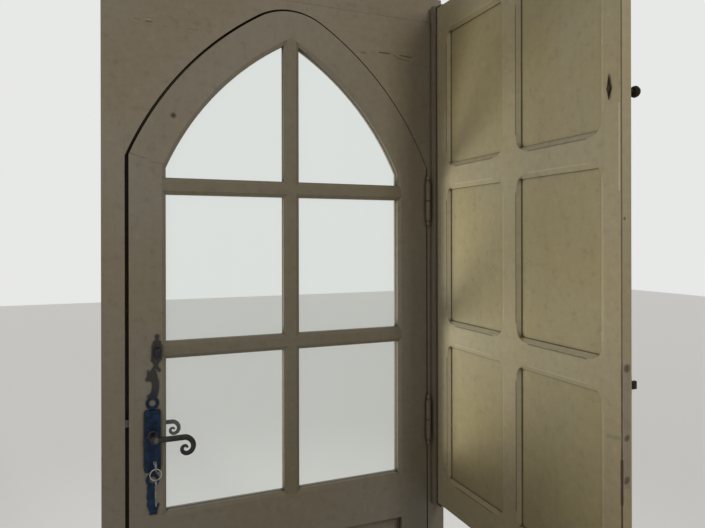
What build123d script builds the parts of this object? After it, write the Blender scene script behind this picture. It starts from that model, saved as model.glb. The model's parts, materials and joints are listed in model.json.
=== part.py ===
from build123d import *
from math import atan2, cos, pi, radians, sin, sqrt
import os

os.makedirs("parts", exist_ok=True)

# A pointed-arch glazed door leaf in its timber frame, with the panelled
# shutter that stands open beside it. Millimetres. +Z is up, +X runs along the
# door from the lock side to the hinge side, and the room is on the -Y side.
# The origin is the middle of the underside of the sill.

# Door frame
jamb_width = 58
frame_depth = 92
sill_height = 25
head_overlap = 112
head_height = 202
head_face_rise = 5
head_set_back = 10
stop_width = 16
stop_clearance = 2
lock_gap = 10
hinge_gap = 4
sill_gap = 5
fixing_hole_radius = 4.5
fixing_heights = (420, 1420)

# Door leaf
leaf_width = 900
leaf_thickness = 44
arch_radius = 900
spring_height = 1745
apex_height = 2210
arch_gap = 5
tip_radius = 180
lock_stile_width = 85
hinge_stile_width = 90
arch_rail_width = 90
sticking_width = 10
sticking_depth = 6
bar_width = 26
upper_bar_height = 1664
lower_bar_height = 1218
mid_rail_bottom = 640
mid_rail_top = 770
bottom_rail_top = 200
muntin_width = 85
stile_joint_rise = 4
stile_joint_drop = 28

# Glass and its beads
glass_depth = 20
glass_thickness = 3
glass_edge_gap = 1.5
bead_splay = 4
bead_set_back = 2

# Raised panels under the mid rail
groove_depth = 8
tongue_thickness = 8
groove_clearance = 0.4
tongue_side_gap = 1
field_set_back = 3
field_margin = 24
field_bevel = 18

# Leaf hinges, lift-off with turned finials
hinge_heights = (238, 939, 1640)
hinge_barrel_radius = 7.5
hinge_barrel_length = 62
hinge_barrel_gap = 0.6
hinge_proud = 8.5
hinge_pin_radius = 4
hinge_pin_clearance = 0.25
hinge_plate_thickness = 1.7
hinge_plate_depth = 36
hinge_pin_share = 0.8
hinge_pin_end_gap = 1
hinge_seat_overlap = 0.2
finial_neck_radius = 4.5
finial_ball_radius = 6.5
finial_tip_radius = 1.5
finial_swelling_share = 0.5
finial_length = 21

# Lever set on its long plate
backset = 59
lever_height = 996
plate_thickness = 3
box_width = 41
box_height = 160
box_bottom = 901
box_thickness = 10
box_shoulder = 5
box_edge_chamfer = 2.5
plate_overrun = 7
spindle_side = 8
spindle_hole_radius = 6.6
lever_standoff = 60
lever_bar_height = 15
lever_bar_depth = 10
lever_shank = 79
scroll_steps = 16
scroll_top_radius = 29
scroll_shrink = 0.68
scroll_turn = 450
scroll_tip_height = 6
lever_collar_radius = 14
lever_collar_length = 5
lever_neck_radius = 9
lever_boss_radius = 10.5
lever_face_gap = 0.5
outside_lever_share = 0.8
outside_lever_standoff = 50
outside_plate_height = 230
outside_plate_width = 40
outside_plate_corner = 8

# Ornaments of the plate
eye_radius = 17
eye_hole_radius = 9.5
eye_rise = 18
eye_drop = 28
tail_drop = 121
plate_neck = 14
head_top_rise = 86
twist_width = 6
twist_length = 40
twist_angle = 32
twist_offset = 3
turn_offset = 12
turn_rise = 136.5
turn_base_width = 24
turn_base_height = 41
turn_base_corner = 3
turn_base_rise = 4
turn_collar_radius = 8
turn_collar_length = 6
turn_grip_width = 14
turn_grip_height = 25
turn_grip_depth = 16
turn_grip_corner = 4
turn_spindle_radius = 4
turn_hole_clearance = 0.5
turn_face_gap = 0.5
trefoil_lobe = 5.5
trefoil_spread = 5
trefoil_height = 17
trefoil_stem = 6

# Key in the lock, with a wire ring and a second key on its bow
key_offset = 5
key_rise = 21
key_shank_radius = 3
key_hole_clearance = 0.4
key_bit_width = 2.6
key_bit_drop = 12
key_bit_length = 10
key_slot_clearance = 0.5
key_reach = 27
key_bow_radius = 11.5
key_bow_rod = 2.2
key_collar_radius = 4.6
key_collar_length = 3
key_collar_gap = 0.5
wire_ring_radius = 14.5
wire_radius = 1.1
link_gap = 0.3
spare_bow_radius = 9
spare_rod = 1.9
spare_length = 72
spare_bit_height = 9
spare_bit_reach = 9
key_rod_sides = 5
wire_sides = 5

# Latch and night bolt in the lock stile
latch_case_length = 84
latch_case_rise = 60
latch_case_drop = 122
latch_case_thickness = 16
latch_case_wall = 1.5
forend_width = 22
forend_thickness = 3
forend_overrun = 15
latch_rise = 30
latch_height = 18
latch_thickness = 11
latch_length = 80
latch_reach = 18
latch_clearance = 0.4
latch_nose_land = 2
follower_hub_radius = 11
arm_length = 26
arm_width = 5
arm_start = -20
arm_head_radius = 3.6
notch_play = 0.8
night_bolt_radius = 6
night_bolt_length = 52
night_bolt_travel = 16
night_bolt_clearance = 0.35
night_bolt_set_back = 0.5
night_bolt_chamfer = 1.5
strike_width = 26
strike_thickness = 2.5
strike_height = 300
strike_play = 1.6
strike_pocket_depth = 24

# Shutter
shutter_bottom = 677
shutter_height = 1577
shutter_width = 741
shutter_thickness = 27
hanging_stile_width = 69
free_stile_width = 63
shutter_muntin_start = 330
shutter_muntin_width = 78
shutter_top_rail = 94
shutter_bottom_rail = 101
shutter_mid_rail = 80
shutter_panel_thickness = 8
panel_depth = 10.5
chamfer_width = 12.5
chamfer_depth = 7.5
chamfer_stop = 40
chamfer_bow_run = 0.35
chamfer_bow_rise = 0.72
hanging_edge_round = 3

# Batten and pivots that carry the shutter
batten_width = 36
batten_depth = 22.5
batten_overrun = 12
batten_offset = 14
shutter_face_offset = 6
pivot_setback = 17.5
pivot_edge_distance = 12
pivot_pin_radius = 6
pivot_pin_clearance = 0.3
pivot_pin_length = 32
pivot_arm_thickness = 5
pivot_arm_width = 28
pivot_arm_overhang = 12
pivot_plate_thickness = 4
pivot_plate_height = 86
pivot_end_gap = 2.5
pivot_collar_radius = 9
pivot_collar_gap = 0.3

# Turn knob and bolt near the free edge of the shutter
turn_knob_height = 1836
turn_knob_edge = 32
turn_knob_radius = 13
turn_knob_reach = 26
turn_knob_neck = 6
turn_knob_chamfer = 4
turn_knob_stem_radius = 5
turn_knob_stem_clearance = 0.4
turn_knob_rose_radius = 16
turn_knob_rose_thickness = 3
turn_cam_up = 31
turn_cam_down = 14
turn_cam_half_width = 5.5
turn_cam_eye_wall = 3
turn_cam_thickness = 4
turn_cam_gap = 0.5
turn_cam_bore_gap = 0.05
bolt_height = 1212
bolt_plate_width = 58
bolt_plate_height = 38
bolt_plate_thickness = 2.5
bolt_guide_width = 7
bolt_guide_wall = 3
bolt_radius = 5
bolt_length = 75
bolt_clearance = 0.35
bolt_set_back = 2
bolt_knob_stem_radius = 3
bolt_knob_radius = 7
bolt_knob_reach = 31
bolt_knob_chamfer = 3
bolt_knob_gap = 3
bolt_rod_lift = 1
edge_plate_width = 18
edge_plate_bottom = 1000
edge_plate_top = 1258
edge_plate_thickness = 2

# Places worked out from the sizes above
front = -frame_depth / 2
back = frame_depth / 2
leaf_back = front + leaf_thickness
opening_half = (leaf_width + lock_gap + hinge_gap) / 2
outer_half = opening_half + jamb_width
leaf_mid = (lock_gap - hinge_gap) / 2
leaf_left = leaf_mid - leaf_width / 2
leaf_right = leaf_mid + leaf_width / 2
leaf_bottom = sill_height + sill_gap
half_leaf = leaf_width / 2
arch_rise = apex_height - spring_height
half_chord = sqrt(half_leaf**2 + arch_rise**2) / 2
centre_distance = sqrt(arch_radius**2 - half_chord**2)
arch_centre_x = (centre_distance * arch_rise / half_chord - half_leaf) / 2
arch_centre_z = (spring_height + apex_height - centre_distance * half_leaf / half_chord) / 2
head_bottom = apex_height - head_overlap
frame_top = head_bottom + head_height
stile_flat = leaf_left + lock_stile_width
hinge_flat = leaf_right - hinge_stile_width
half_bar = bar_width / 2
lock_x = leaf_left + backset
lock_mid_y = front + leaf_thickness / 2
box_top = box_bottom + box_height
eye_height = box_top + eye_rise
turn_height = eye_height + turn_rise
turn_x = lock_x + turn_offset
key_x = lock_x + key_offset
key_height = box_bottom + key_rise
beyond = 5


def facing(y):
    """The upright plane at this depth, drawn on as seen from the room: x to the right, z up."""
    return Plane(origin=(0, y, 0), x_dir=(1, 0, 0), z_dir=(0, -1, 0))


def board(outline, y0, y1):
    """An outline in x and z, made solid from depth y0 to depth y1."""
    return extrude(facing(y1) * outline, amount=y1 - y0)


def rectangle(x0, x1, z0, z1):
    return Pos((x0 + x1) / 2, (z0 + z1) / 2) * Rectangle(x1 - x0, z1 - z0)


def polygon(*points):
    return make_face(Polyline(*points, close=True))


def block(x0, x1, y0, y1, z0, z1):
    return Pos((x0 + x1) / 2, (y0 + y1) / 2, (z0 + z1) / 2) * Box(x1 - x0, y1 - y0, z1 - z0)


def across(x, y, z, radius, length):
    """A round bar along Y that starts at depth y."""
    return Pos(x, y + length / 2, z) * Rot(90, 0, 0) * Cylinder(radius, length)


def along(x0, x1, y, z, radius):
    """A round bar along X."""
    return Pos((x0 + x1) / 2, y, z) * Rot(0, 90, 0) * Cylinder(radius, x1 - x0)


def upright(x, y, z0, z1, radius):
    """A round bar along Z."""
    return Pos(x, y, (z0 + z1) / 2) * Cylinder(radius, z1 - z0)


def gothic(half, base, radius, mid=0, tip=0):
    """A pointed arch on straight sides: two arcs about centres past the middle line."""
    left_centre = (mid + arch_centre_x, arch_centre_z)
    side = arch_centre_z + sqrt(radius**2 - (half + arch_centre_x) ** 2)
    apex = arch_centre_z + sqrt(radius**2 - arch_centre_x**2)
    start = atan2(side - arch_centre_z, -half - arch_centre_x)
    end = atan2(apex - arch_centre_z, -arch_centre_x)
    middle = (start + end) / 2
    rise = (radius * cos(middle), radius * sin(middle))
    left_point = (left_centre[0] + rise[0], left_centre[1] + rise[1])
    right_point = (2 * mid - left_point[0], left_point[1])
    edges = [
        Line((mid - half, base), (mid - half, side)),
        ThreePointArc((mid - half, side), left_point, (mid, apex)),
        ThreePointArc((mid, apex), right_point, (mid + half, side)),
        Line((mid + half, side), (mid + half, base)),
        Line((mid + half, base), (mid - half, base)),
    ]
    face = make_face(edges)
    if tip:
        face = fillet(face.vertices().sort_by(Axis.Y)[-1], tip)
    return face


def bends(*points):
    """Arcs end to end, each through a point and the two after it."""
    return [
        ThreePointArc(points[index], points[index + 1], points[index + 2])
        for index in range(0, len(points) - 2, 2)
    ]


def mirrored(x, side, notch=0):
    """A face as wide on the left as on the right of x, its side given from top to bottom."""
    right = [(x + half, z) for half, z in side]
    left = [(x - half, z) for half, z in reversed(side)]
    foot = Polyline(right[-1], (x, right[-1][1] + notch), left[0])
    return make_face([*bends(*right), foot, *bends(*left), Line(left[-1], right[0])])


def polygon_ring(radius, rod_radius, sides):
    """A ring about the Z axis whose rod has a few flats."""
    rod = Pos(radius, 0) * RegularPolygon(rod_radius, sides)
    return revolve(Plane.XZ * rod, Axis.Z)


def export(name, shape):
    shape.label = name
    export_step(shape, "parts/" + name + ".step")


# Door frame: jambs on a sill, a deep head over them, and two corner
# pieces that fill the square above the arch. One rebate runs all round.
rebate_back = leaf_back + stop_clearance
opening_radius = arch_radius + arch_gap
opening = gothic(opening_half, sill_height, opening_radius, 0, tip_radius + arch_gap)
stop_opening = gothic(
    opening_half - stop_width, sill_height, opening_radius - stop_width, 0, tip_radius
)
spring = arch_centre_z + sqrt(opening_radius**2 - (opening_half + arch_centre_x) ** 2)
surround = board(rectangle(-outer_half, outer_half, sill_height, frame_top), front, back)
surround -= board(opening, front - beyond, rebate_back)
surround -= board(stop_opening, rebate_back - beyond, back + beyond)

latch_z = lever_height + latch_rise
strike_mid = (latch_z + turn_height) / 2
strike_face_x = -opening_half
pocket_x = strike_face_x - strike_pocket_depth
latch_slot = (
    latch_z - latch_height / 2 - strike_play,
    latch_z + latch_height / 2 + strike_play,
)
latch_y = lock_mid_y
half_latch = latch_thickness / 2 + strike_play
strike_recess = block(
    strike_face_x - strike_thickness, strike_face_x,
    latch_y - strike_width / 2, latch_y + strike_width / 2,
    strike_mid - strike_height / 2, strike_mid + strike_height / 2,
)
latch_pocket = block(
    pocket_x, strike_face_x, latch_y - half_latch, latch_y + half_latch, *latch_slot
)
night_pocket = along(
    pocket_x, strike_face_x, latch_y, turn_height, night_bolt_radius + strike_play
)

hinge_x = leaf_right + hinge_gap / 2
hinge_y = front - hinge_proud


def hinge_span(height):
    """The lowest and highest point of the two barrels of a hinge."""
    reach = hinge_barrel_length + hinge_barrel_gap / 2
    return height - reach, height + reach


frame_plate_cuts = []
leaf_plate_cuts = []
for height in hinge_heights:
    low, high = hinge_span(height)
    plate_y = (front - beyond, front + hinge_plate_depth)
    frame_plate_cuts.append(
        block(opening_half, opening_half + hinge_plate_thickness, *plate_y, low, height)
    )
    leaf_plate_cuts.append(
        block(leaf_right - hinge_plate_thickness, leaf_right, *plate_y, height, high)
    )

lip = opening_half - stop_width
jamb_lock = surround & block(
    -outer_half, -opening_half, front, back, sill_height, head_bottom
)
jamb_lock += surround & block(-opening_half, -lip, front, back, sill_height, spring)
jamb_lock = jamb_lock - strike_recess - latch_pocket - night_pocket
jamb_hinge = surround & block(
    opening_half, outer_half, front, back, sill_height, head_bottom
)
jamb_hinge += surround & block(lip, opening_half, front, back, sill_height, spring)
for cut in frame_plate_cuts:
    jamb_hinge -= cut
for height in fixing_heights:
    jamb_lock -= along(
        -outer_half - beyond, -opening_half + beyond, lock_mid_y, height, fixing_hole_radius
    )
    jamb_hinge -= along(
        opening_half - beyond, outer_half + beyond, lock_mid_y, height, fixing_hole_radius
    )
spandrel_left = surround & block(-opening_half, 0, front, back, spring, head_bottom)
spandrel_right = surround & block(0, opening_half, front, back, spring, head_bottom)
frame_head = surround & block(-outer_half, outer_half, front, back, head_bottom, frame_top)
frame_head -= block(
    -outer_half, outer_half, front, front + head_set_back,
    apex_height + head_face_rise, frame_top,
)
sill = block(-outer_half, outer_half, front, back, 0, sill_height)

strike_plate = strike_recess - latch_pocket - night_pocket

export("jamb_lock_side", jamb_lock)
export("jamb_hinge_side", jamb_hinge)
export("frame_corner_left", spandrel_left)
export("frame_corner_right", spandrel_right)
export("frame_head", frame_head)
export("frame_sill", sill)
export("strike_plate", strike_plate)


# Door leaf: one arched slab, its lights and panel openings cut, then
# parted along the joints of stiles, rails, bars and arched head pieces.
sight_lock = stile_flat + sticking_width
sight_hinge = hinge_flat - sticking_width
sight_bar = half_bar + sticking_width
sight_bottom = mid_rail_top + sticking_width
sight_arch_radius = arch_radius - arch_rail_width - sticking_width
wide_half = leaf_width / 2 - lock_stile_width + 2 * sticking_width
above_all = frame_top

rows = {
    "lower": (sight_bottom, lower_bar_height - sight_bar),
    "middle": (lower_bar_height + sight_bar, upper_bar_height - sight_bar),
    "head": (upper_bar_height + sight_bar, above_all),
}
columns = {
    "left": (sight_lock, leaf_mid - sight_bar),
    "right": (leaf_mid + sight_bar, sight_hinge),
}


def light(row, column, margin):
    """The outline of one light, grown by a margin beyond its sight line."""
    x0, x1 = columns[column]
    z0, z1 = rows[row]
    outline = rectangle(x0 - margin, x1 + margin, z0 - margin, z1 + margin)
    if row == "head":
        arch = gothic(wide_half, leaf_bottom, sight_arch_radius + margin, leaf_mid)
        outline = outline & arch
    return outline


slab = board(
    gothic(leaf_width / 2, leaf_bottom, arch_radius, leaf_mid, tip_radius), front, leaf_back
)
for row in rows:
    for column in columns:
        sight = light(row, column, 0)
        slab -= board(sight, front - beyond, leaf_back + beyond)
        slab -= board(
            light(row, column, sticking_width), front + glass_depth, leaf_back + beyond
        )
        slab -= loft(
            [
                facing(front) * light(row, column, sticking_width),
                facing(front + sticking_depth) * sight,
            ],
            ruled=True,
        )

half_muntin = muntin_width / 2
panel_openings = {
    "left": (stile_flat, leaf_mid - half_muntin, bottom_rail_top, mid_rail_bottom),
    "right": (leaf_mid + half_muntin, hinge_flat, bottom_rail_top, mid_rail_bottom),
}
tongue_y = (lock_mid_y - tongue_thickness / 2, lock_mid_y + tongue_thickness / 2)


def grown(box, margin):
    x0, x1, z0, z1 = box
    return rectangle(x0 - margin, x1 + margin, z0 - margin, z1 + margin)


for box in panel_openings.values():
    slab -= board(grown(box, 0), front - beyond, leaf_back + beyond)
    slab -= board(grown(box, groove_depth), *tongue_y)

case_x = (leaf_left + forend_thickness, leaf_left + latch_case_length)
case_z = (latch_z - latch_case_drop, latch_z + latch_case_rise)
half_case = latch_case_thickness / 2
case_block = block(
    *case_x, lock_mid_y - half_case, lock_mid_y + half_case, *case_z
)
forend_block = block(
    leaf_left, leaf_left + forend_thickness,
    lock_mid_y - forend_width / 2, lock_mid_y + forend_width / 2,
    case_z[0] - forend_overrun, case_z[1] + forend_overrun,
)


def keyhole(y0, y1):
    """The way for the key: a round hole for its shank and a slot for its bit."""
    hole = Pos(key_x, key_height) * Circle(key_shank_radius + key_hole_clearance)
    slot_half = key_bit_width / 2 + key_slot_clearance
    slot_foot = key_height - key_bit_drop - key_slot_clearance
    slot = rectangle(key_x - slot_half, key_x + slot_half, slot_foot, key_height)
    return board(hole + slot, y0, y1)


slab -= case_block
slab -= forend_block
slab -= keyhole(front - beyond, lock_mid_y)
slab -= across(lock_x, front - beyond, lever_height, spindle_hole_radius, leaf_thickness + 2 * beyond)
slab -= across(
    turn_x, front - beyond, turn_height, turn_spindle_radius + turn_hole_clearance,
    beyond + leaf_thickness / 2 + night_bolt_radius,
)
slab -= along(
    leaf_left - beyond, turn_x, lock_mid_y, turn_height,
    night_bolt_radius + night_bolt_clearance,
)
for cut in leaf_plate_cuts:
    slab -= cut


def transom_region(x0, x1, height):
    """A glazing bar between two flats, its moulded edges mitred into theirs."""
    reach = half_bar + sticking_width
    return board(
        polygon(
            (x0, height - half_bar),
            (x0 + sticking_width, height - reach),
            (x1 - sticking_width, height - reach),
            (x1, height - half_bar),
            (x1, height + half_bar),
            (x1 - sticking_width, height + reach),
            (x0 + sticking_width, height + reach),
            (x0, height + half_bar),
        ),
        front, leaf_back,
    )


for level, height in (("upper", upper_bar_height), ("lower", lower_bar_height)):
    left_region = transom_region(stile_flat, leaf_mid - half_bar, height)
    right_region = transom_region(leaf_mid + half_bar, hinge_flat, height)
    halves = [slab & left_region, slab & right_region]
    slab = slab - left_region - right_region
    export("transom_" + level, Compound(children=halves))
regions = {}
arch_flat = gothic(
    wide_half, leaf_bottom, arch_radius - arch_rail_width, leaf_mid
)
regions["mullion"] = board(
    polygon(
        (leaf_mid - half_bar, mid_rail_top),
        (leaf_mid - sight_bar, sight_bottom),
        (leaf_mid - sight_bar, above_all),
        (leaf_mid + sight_bar, above_all),
        (leaf_mid + sight_bar, sight_bottom),
        (leaf_mid + half_bar, mid_rail_top),
    )
    & arch_flat,
    front, leaf_back,
)
regions["mid_rail"] = board(
    polygon(
        (stile_flat, mid_rail_bottom),
        (stile_flat, mid_rail_top),
        (sight_lock, sight_bottom),
        (sight_hinge, sight_bottom),
        (hinge_flat, mid_rail_top),
        (hinge_flat, mid_rail_bottom),
    ),
    front, leaf_back,
)
regions["bottom_rail"] = block(
    stile_flat, hinge_flat, front, leaf_back, leaf_bottom, bottom_rail_top
)
regions["leaf_muntin"] = block(
    leaf_mid - half_muntin, leaf_mid + half_muntin,
    front, leaf_back, bottom_rail_top, mid_rail_bottom,
)
stile_joint_height = spring_height + stile_joint_rise
joint_inner = stile_joint_height - stile_joint_drop
arch_rail_left = polygon(
    (leaf_left, stile_joint_height),
    (sight_lock, joint_inner),
    (leaf_mid, joint_inner),
    (leaf_mid, above_all),
    (leaf_left, above_all),
)
arch_rail_right = polygon(
    (leaf_right, stile_joint_height),
    (sight_hinge, joint_inner),
    (leaf_mid, joint_inner),
    (leaf_mid, above_all),
    (leaf_right, above_all),
)
regions["arch_rail_left"] = board(arch_rail_left, front, leaf_back)
regions["arch_rail_right"] = board(arch_rail_right, front, leaf_back)
regions["lock_stile"] = block(leaf_left, leaf_mid, front, leaf_back, leaf_bottom, above_all)
regions["hinge_stile"] = block(leaf_mid, leaf_right, front, leaf_back, leaf_bottom, above_all)
for name, region in regions.items():
    export(name, slab & region)
    slab -= region

# Raised panels: a tongue in the grooves and a bevelled field on both faces.
for side, box in panel_openings.items():
    tongue_margin = groove_depth - tongue_side_gap
    tongue_front = tongue_y[0] + groove_clearance / 2
    tongue_back = tongue_y[1] - groove_clearance / 2
    panel = board(grown(box, tongue_margin), tongue_front, tongue_back)
    field_foot = grown(box, -(field_margin - field_bevel))
    field_top = grown(box, -field_margin)
    for face_y, foot_y in (
        (front + field_set_back, tongue_front),
        (leaf_back - field_set_back, tongue_back),
    ):
        panel += loft([facing(foot_y) * field_foot, facing(face_y) * field_top], ruled=True)
    export("leaf_panel_" + side, panel)

# Six panes, each held from outside by a splayed bead.
glass_y = (front + glass_depth, front + glass_depth + glass_thickness)
beads = []
for row in rows:
    for column in columns:
        pane = board(light(row, column, sticking_width - glass_edge_gap), *glass_y)
        export("pane_" + row + "_" + column, pane)
        bead = board(
            light(row, column, sticking_width), glass_y[1], leaf_back - bead_set_back
        )
        bead -= loft(
            [
                facing(glass_y[1]) * light(row, column, 0),
                facing(leaf_back - bead_set_back) * light(row, column, bead_splay),
            ],
            ruled=True,
        )
        beads.append(bead)
export("glazing_beads", Compound(children=beads))


# Hinges: the lower barrel and pin belong to the frame, the upper barrel
# turns on the pin with the leaf. Both ends carry a turned finial.
def finial(z, up):
    """A neck, a swelling and a blunt tip, turned in one piece about the hinge axis."""
    swelling = finial_length * finial_swelling_share
    profile = polygon(
        (0, 0),
        (finial_neck_radius, 0),
        (finial_ball_radius, swelling),
        (finial_tip_radius, finial_length),
        (0, finial_length),
    )
    turned = revolve(Plane.XZ * profile, Axis.Z)
    if not up:
        turned = Rot(180, 0, 0) * turned
    return Pos(hinge_x, hinge_y, z) * turned


def hinge_half(side, edge, z0, z1):
    """A barrel with the flat that joins it to its plate, let into the edge on that side."""
    inner = hinge_x + side * (hinge_gap / 2 - hinge_plate_thickness)
    flat = sorted((inner, edge))
    plate = sorted((edge - side * hinge_seat_overlap, edge + side * hinge_plate_thickness))
    half = upright(hinge_x, hinge_y, z0, z1, hinge_barrel_radius)
    half += block(*flat, hinge_y, front, z0, z1)
    half += block(*plate, front, front + hinge_plate_depth, z0, z1)
    return half


frame_halves = []
leaf_halves = []
pin_length = hinge_barrel_length * hinge_pin_share
for height in hinge_heights:
    low, high = hinge_span(height)
    frame_top_z = height - hinge_barrel_gap / 2
    leaf_foot_z = height + hinge_barrel_gap / 2
    frame_half = hinge_half(1, opening_half, low, frame_top_z)
    frame_half += upright(hinge_x, hinge_y, low, height + pin_length, hinge_pin_radius)
    frame_half += finial(low, False)
    frame_halves.append(frame_half)
    leaf_half = hinge_half(-1, leaf_right, leaf_foot_z, high)
    leaf_half -= upright(
        hinge_x, hinge_y, leaf_foot_z, height + pin_length + hinge_pin_end_gap,
        hinge_pin_radius + hinge_pin_clearance,
    )
    leaf_half += finial(high, True)
    leaf_halves.append(leaf_half)
export("hinge_frame_halves", Compound(children=frame_halves))
export("hinge_leaf_halves", Compound(children=leaf_halves))

# Mortise case: a steel shell in the lock stile with its forend let in flush.
latch_mouth = block(
    leaf_left, leaf_left + latch_case_wall + forend_thickness,
    lock_mid_y - latch_thickness / 2 - latch_clearance,
    lock_mid_y + latch_thickness / 2 + latch_clearance,
    latch_z - latch_height / 2 - latch_clearance, latch_z + latch_height / 2 + latch_clearance,
)
case_cavity = block(
    case_x[0] + latch_case_wall, case_x[1] - latch_case_wall,
    lock_mid_y - half_case + latch_case_wall, lock_mid_y + half_case - latch_case_wall,
    case_z[0] + latch_case_wall, case_z[1] - latch_case_wall,
)


def spindle_bore(y0, y1):
    return across(lock_x, y0, lever_height, spindle_hole_radius, y1 - y0)


latch_case = case_block + forend_block - case_cavity - latch_mouth
latch_case -= spindle_bore(front, leaf_back)
latch_case -= keyhole(front, lock_mid_y)
export("latch_case", latch_case)


# Lock plate: forged in one, from a horned foot over the lower eye and the
# flat that carries the lever to the upper eye, a beast's head, a twist and
# the base of the thumb turn with a trefoil on top.
def at_plate(x, z, points):
    """Points given from a place on the plate."""
    return [(x + right, z + up) for right, up in points]


def tail_outline():
    """The foot: a notched body that ends in two horns over a narrow base."""
    left = at_plate(lock_x, box_bottom - tail_drop, [(-11, 82), (-14, 72), (-12, 62), (-15, 50), (-12, 38)])
    foot = at_plate(
        lock_x, box_bottom - tail_drop,
        [(-12, 38), (-15, 27), (-7, 6), (-9, 0), (12, 0), (11, 6), (17, 28), (9, 24)],
    )
    right = at_plate(lock_x, box_bottom - tail_drop, [(9, 24), (5, 45), (8, 82)])
    return make_face([*bends(*left), Polyline(*foot), *bends(*right), Line(right[-1], left[0])])


def head_outline():
    """A beast's head in profile on its neck, the snout to the left and an ear above it."""
    back = at_plate(lock_x, eye_height, [(13, 20), (16.5, 41), (15.5, 62), (11.5, 72), (9.5, 86)])
    face = at_plate(
        lock_x, eye_height,
        [(9.5, 86), (-7, 83), (-12, 90), (-13, 72), (-17.5, 63), (-14.5, 59.5), (-5, 61)],
    )
    throat = at_plate(lock_x, eye_height, [(-5, 61), (0, 50), (-1.5, 38), (-5, 26), (-14, 20)])
    collar = at_plate(lock_x, eye_height, [(-14, 20), (-8, 12), (8, 12), (13, 20)])
    return make_face([*bends(*back), Polyline(*face), *bends(*throat), Polyline(*collar)])


def trefoil_outline(z):
    """Three round lobes on a stem."""
    outline = rectangle(turn_x - trefoil_stem / 2, turn_x + trefoil_stem / 2, z - 1, z + trefoil_height)
    for x, up in ((-trefoil_spread, 0), (trefoil_spread, 0), (0, trefoil_height)):
        outline += Pos(turn_x + x, z + trefoil_lobe - 1 + up) * Circle(trefoil_lobe)
    return outline


lower_eye_height = box_bottom - eye_drop
base_bottom = turn_height - turn_base_height / 2
base_top = base_bottom + turn_base_height
turn_base = fillet(
    rectangle(
        turn_x - turn_base_width / 2, turn_x + turn_base_width / 2, base_bottom, base_top
    ).vertices(),
    turn_base_corner,
)


def lock_plate_outline():
    """The whole outline of the plate, with both eyes pierced."""
    outline = rectangle(
        lock_x - box_width / 2, lock_x + box_width / 2, box_bottom - plate_overrun, box_top
    )
    outline = fillet(outline.vertices(), box_shoulder)
    outline += rectangle(
        lock_x - plate_neck / 2, lock_x + plate_neck / 2,
        lower_eye_height + eye_hole_radius, eye_height - eye_hole_radius,
    )
    outline = outline + tail_outline() + head_outline() + turn_base + trefoil_outline(base_top)
    twist_z = (eye_height + head_top_rise + base_bottom) / 2
    for turn in (twist_angle, -twist_angle):
        outline += (
            Pos(turn_x - twist_offset, twist_z) * Rot(0, 0, turn) * Rectangle(twist_width, twist_length)
        )
    eyes = [(lock_x, eye_height), (lock_x, lower_eye_height)]
    for place in eyes:
        outline += Pos(*place) * Circle(eye_radius)
    for place in eyes:
        outline -= Pos(*place) * Circle(eye_hole_radius)
    return outline


plate_front = front - plate_thickness
turn_face = plate_front - turn_base_rise
turn_bore = across(
    turn_x, turn_face, turn_height, turn_spindle_radius + turn_hole_clearance,
    turn_base_rise + plate_thickness,
)
lock_plate = board(lock_plate_outline(), plate_front, front)
lock_plate += board(turn_base, turn_face, plate_front)
lock_plate = lock_plate - spindle_bore(plate_front, front) - turn_bore - keyhole(plate_front, front)
export("lock_plate", lock_plate)

# The lever's box stands on the plate, its corners cut and its front edges eased.
box_front = plate_front - box_thickness
lever_box = board(
    chamfer(
        rectangle(lock_x - box_width / 2, lock_x + box_width / 2, box_bottom, box_top).vertices(),
        box_shoulder,
    ),
    box_front, plate_front,
)
lever_box = chamfer(lever_box.faces().sort_by(Axis.Y)[0].edges(), box_edge_chamfer)
lever_box = lever_box - spindle_bore(box_front, plate_front) - keyhole(box_front, plate_front)
export("lever_box", lever_box)

outside_plate = board(
    fillet(
        rectangle(
            lock_x - outside_plate_width / 2, lock_x + outside_plate_width / 2,
            lever_height - outside_plate_height / 2, lever_height + outside_plate_height / 2,
        ).vertices(),
        outside_plate_corner,
    ),
    leaf_back, leaf_back + plate_thickness,
)
outside_plate -= spindle_bore(leaf_back, leaf_back + plate_thickness)
export("outside_plate", outside_plate)


# Levers: a round neck, then a flat bar whose end rolls down into a scroll.
def scroll_edge(centre, share, side):
    """One edge of the rolled bar: a shrinking spiral, half the bar's height to its side."""
    points = []
    for step in range(scroll_steps + 1):
        done = step / scroll_steps
        angle = radians(scroll_turn * done)
        radius = scroll_top_radius * scroll_shrink ** (angle / (pi / 2))
        half = (lever_bar_height + (scroll_tip_height - lever_bar_height) * done) / 2
        reach = (radius + side * half) * share
        points.append((centre[0] + reach * sin(angle), centre[1] + reach * cos(angle)))
    return points


def lever_grip(share):
    """The side view of the grip: the bar thins as it follows the spiral."""
    centre = (lock_x + lever_shank * share, lever_height - scroll_top_radius * share)
    outer = scroll_edge(centre, share, 1)
    inner = scroll_edge(centre, share, -1)
    half = lever_bar_height * share / 2
    shank = rectangle(lock_x, centre[0], lever_height - half, lever_height + half)
    scroll = make_face(
        [
            *bends(*outer),
            Line(outer[-1], inner[-1]),
            *bends(*reversed(inner)),
            Line(inner[0], outer[0]),
        ]
    )
    return shank + scroll


def lever(face_y, away, standoff_y, share):
    """A lever seen from its door face: collar, neck and grip; away is -1 toward the room."""
    collar_y = face_y + away * lever_face_gap
    neck_y = collar_y + away * lever_collar_length
    bar = (standoff_y - lever_bar_depth / 2, standoff_y + lever_bar_depth / 2)
    neck = sorted((collar_y, bar[0] if away > 0 else bar[1]))
    shape = board(lever_grip(share), *bar)
    shape += across(
        lock_x, min(collar_y, neck_y), lever_height, lever_collar_radius, lever_collar_length
    )
    shape += across(lock_x, neck[0], lever_height, lever_neck_radius, neck[1] - neck[0])
    shape += across(lock_x, bar[0], lever_height, lever_boss_radius, lever_bar_depth)
    return shape


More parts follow.
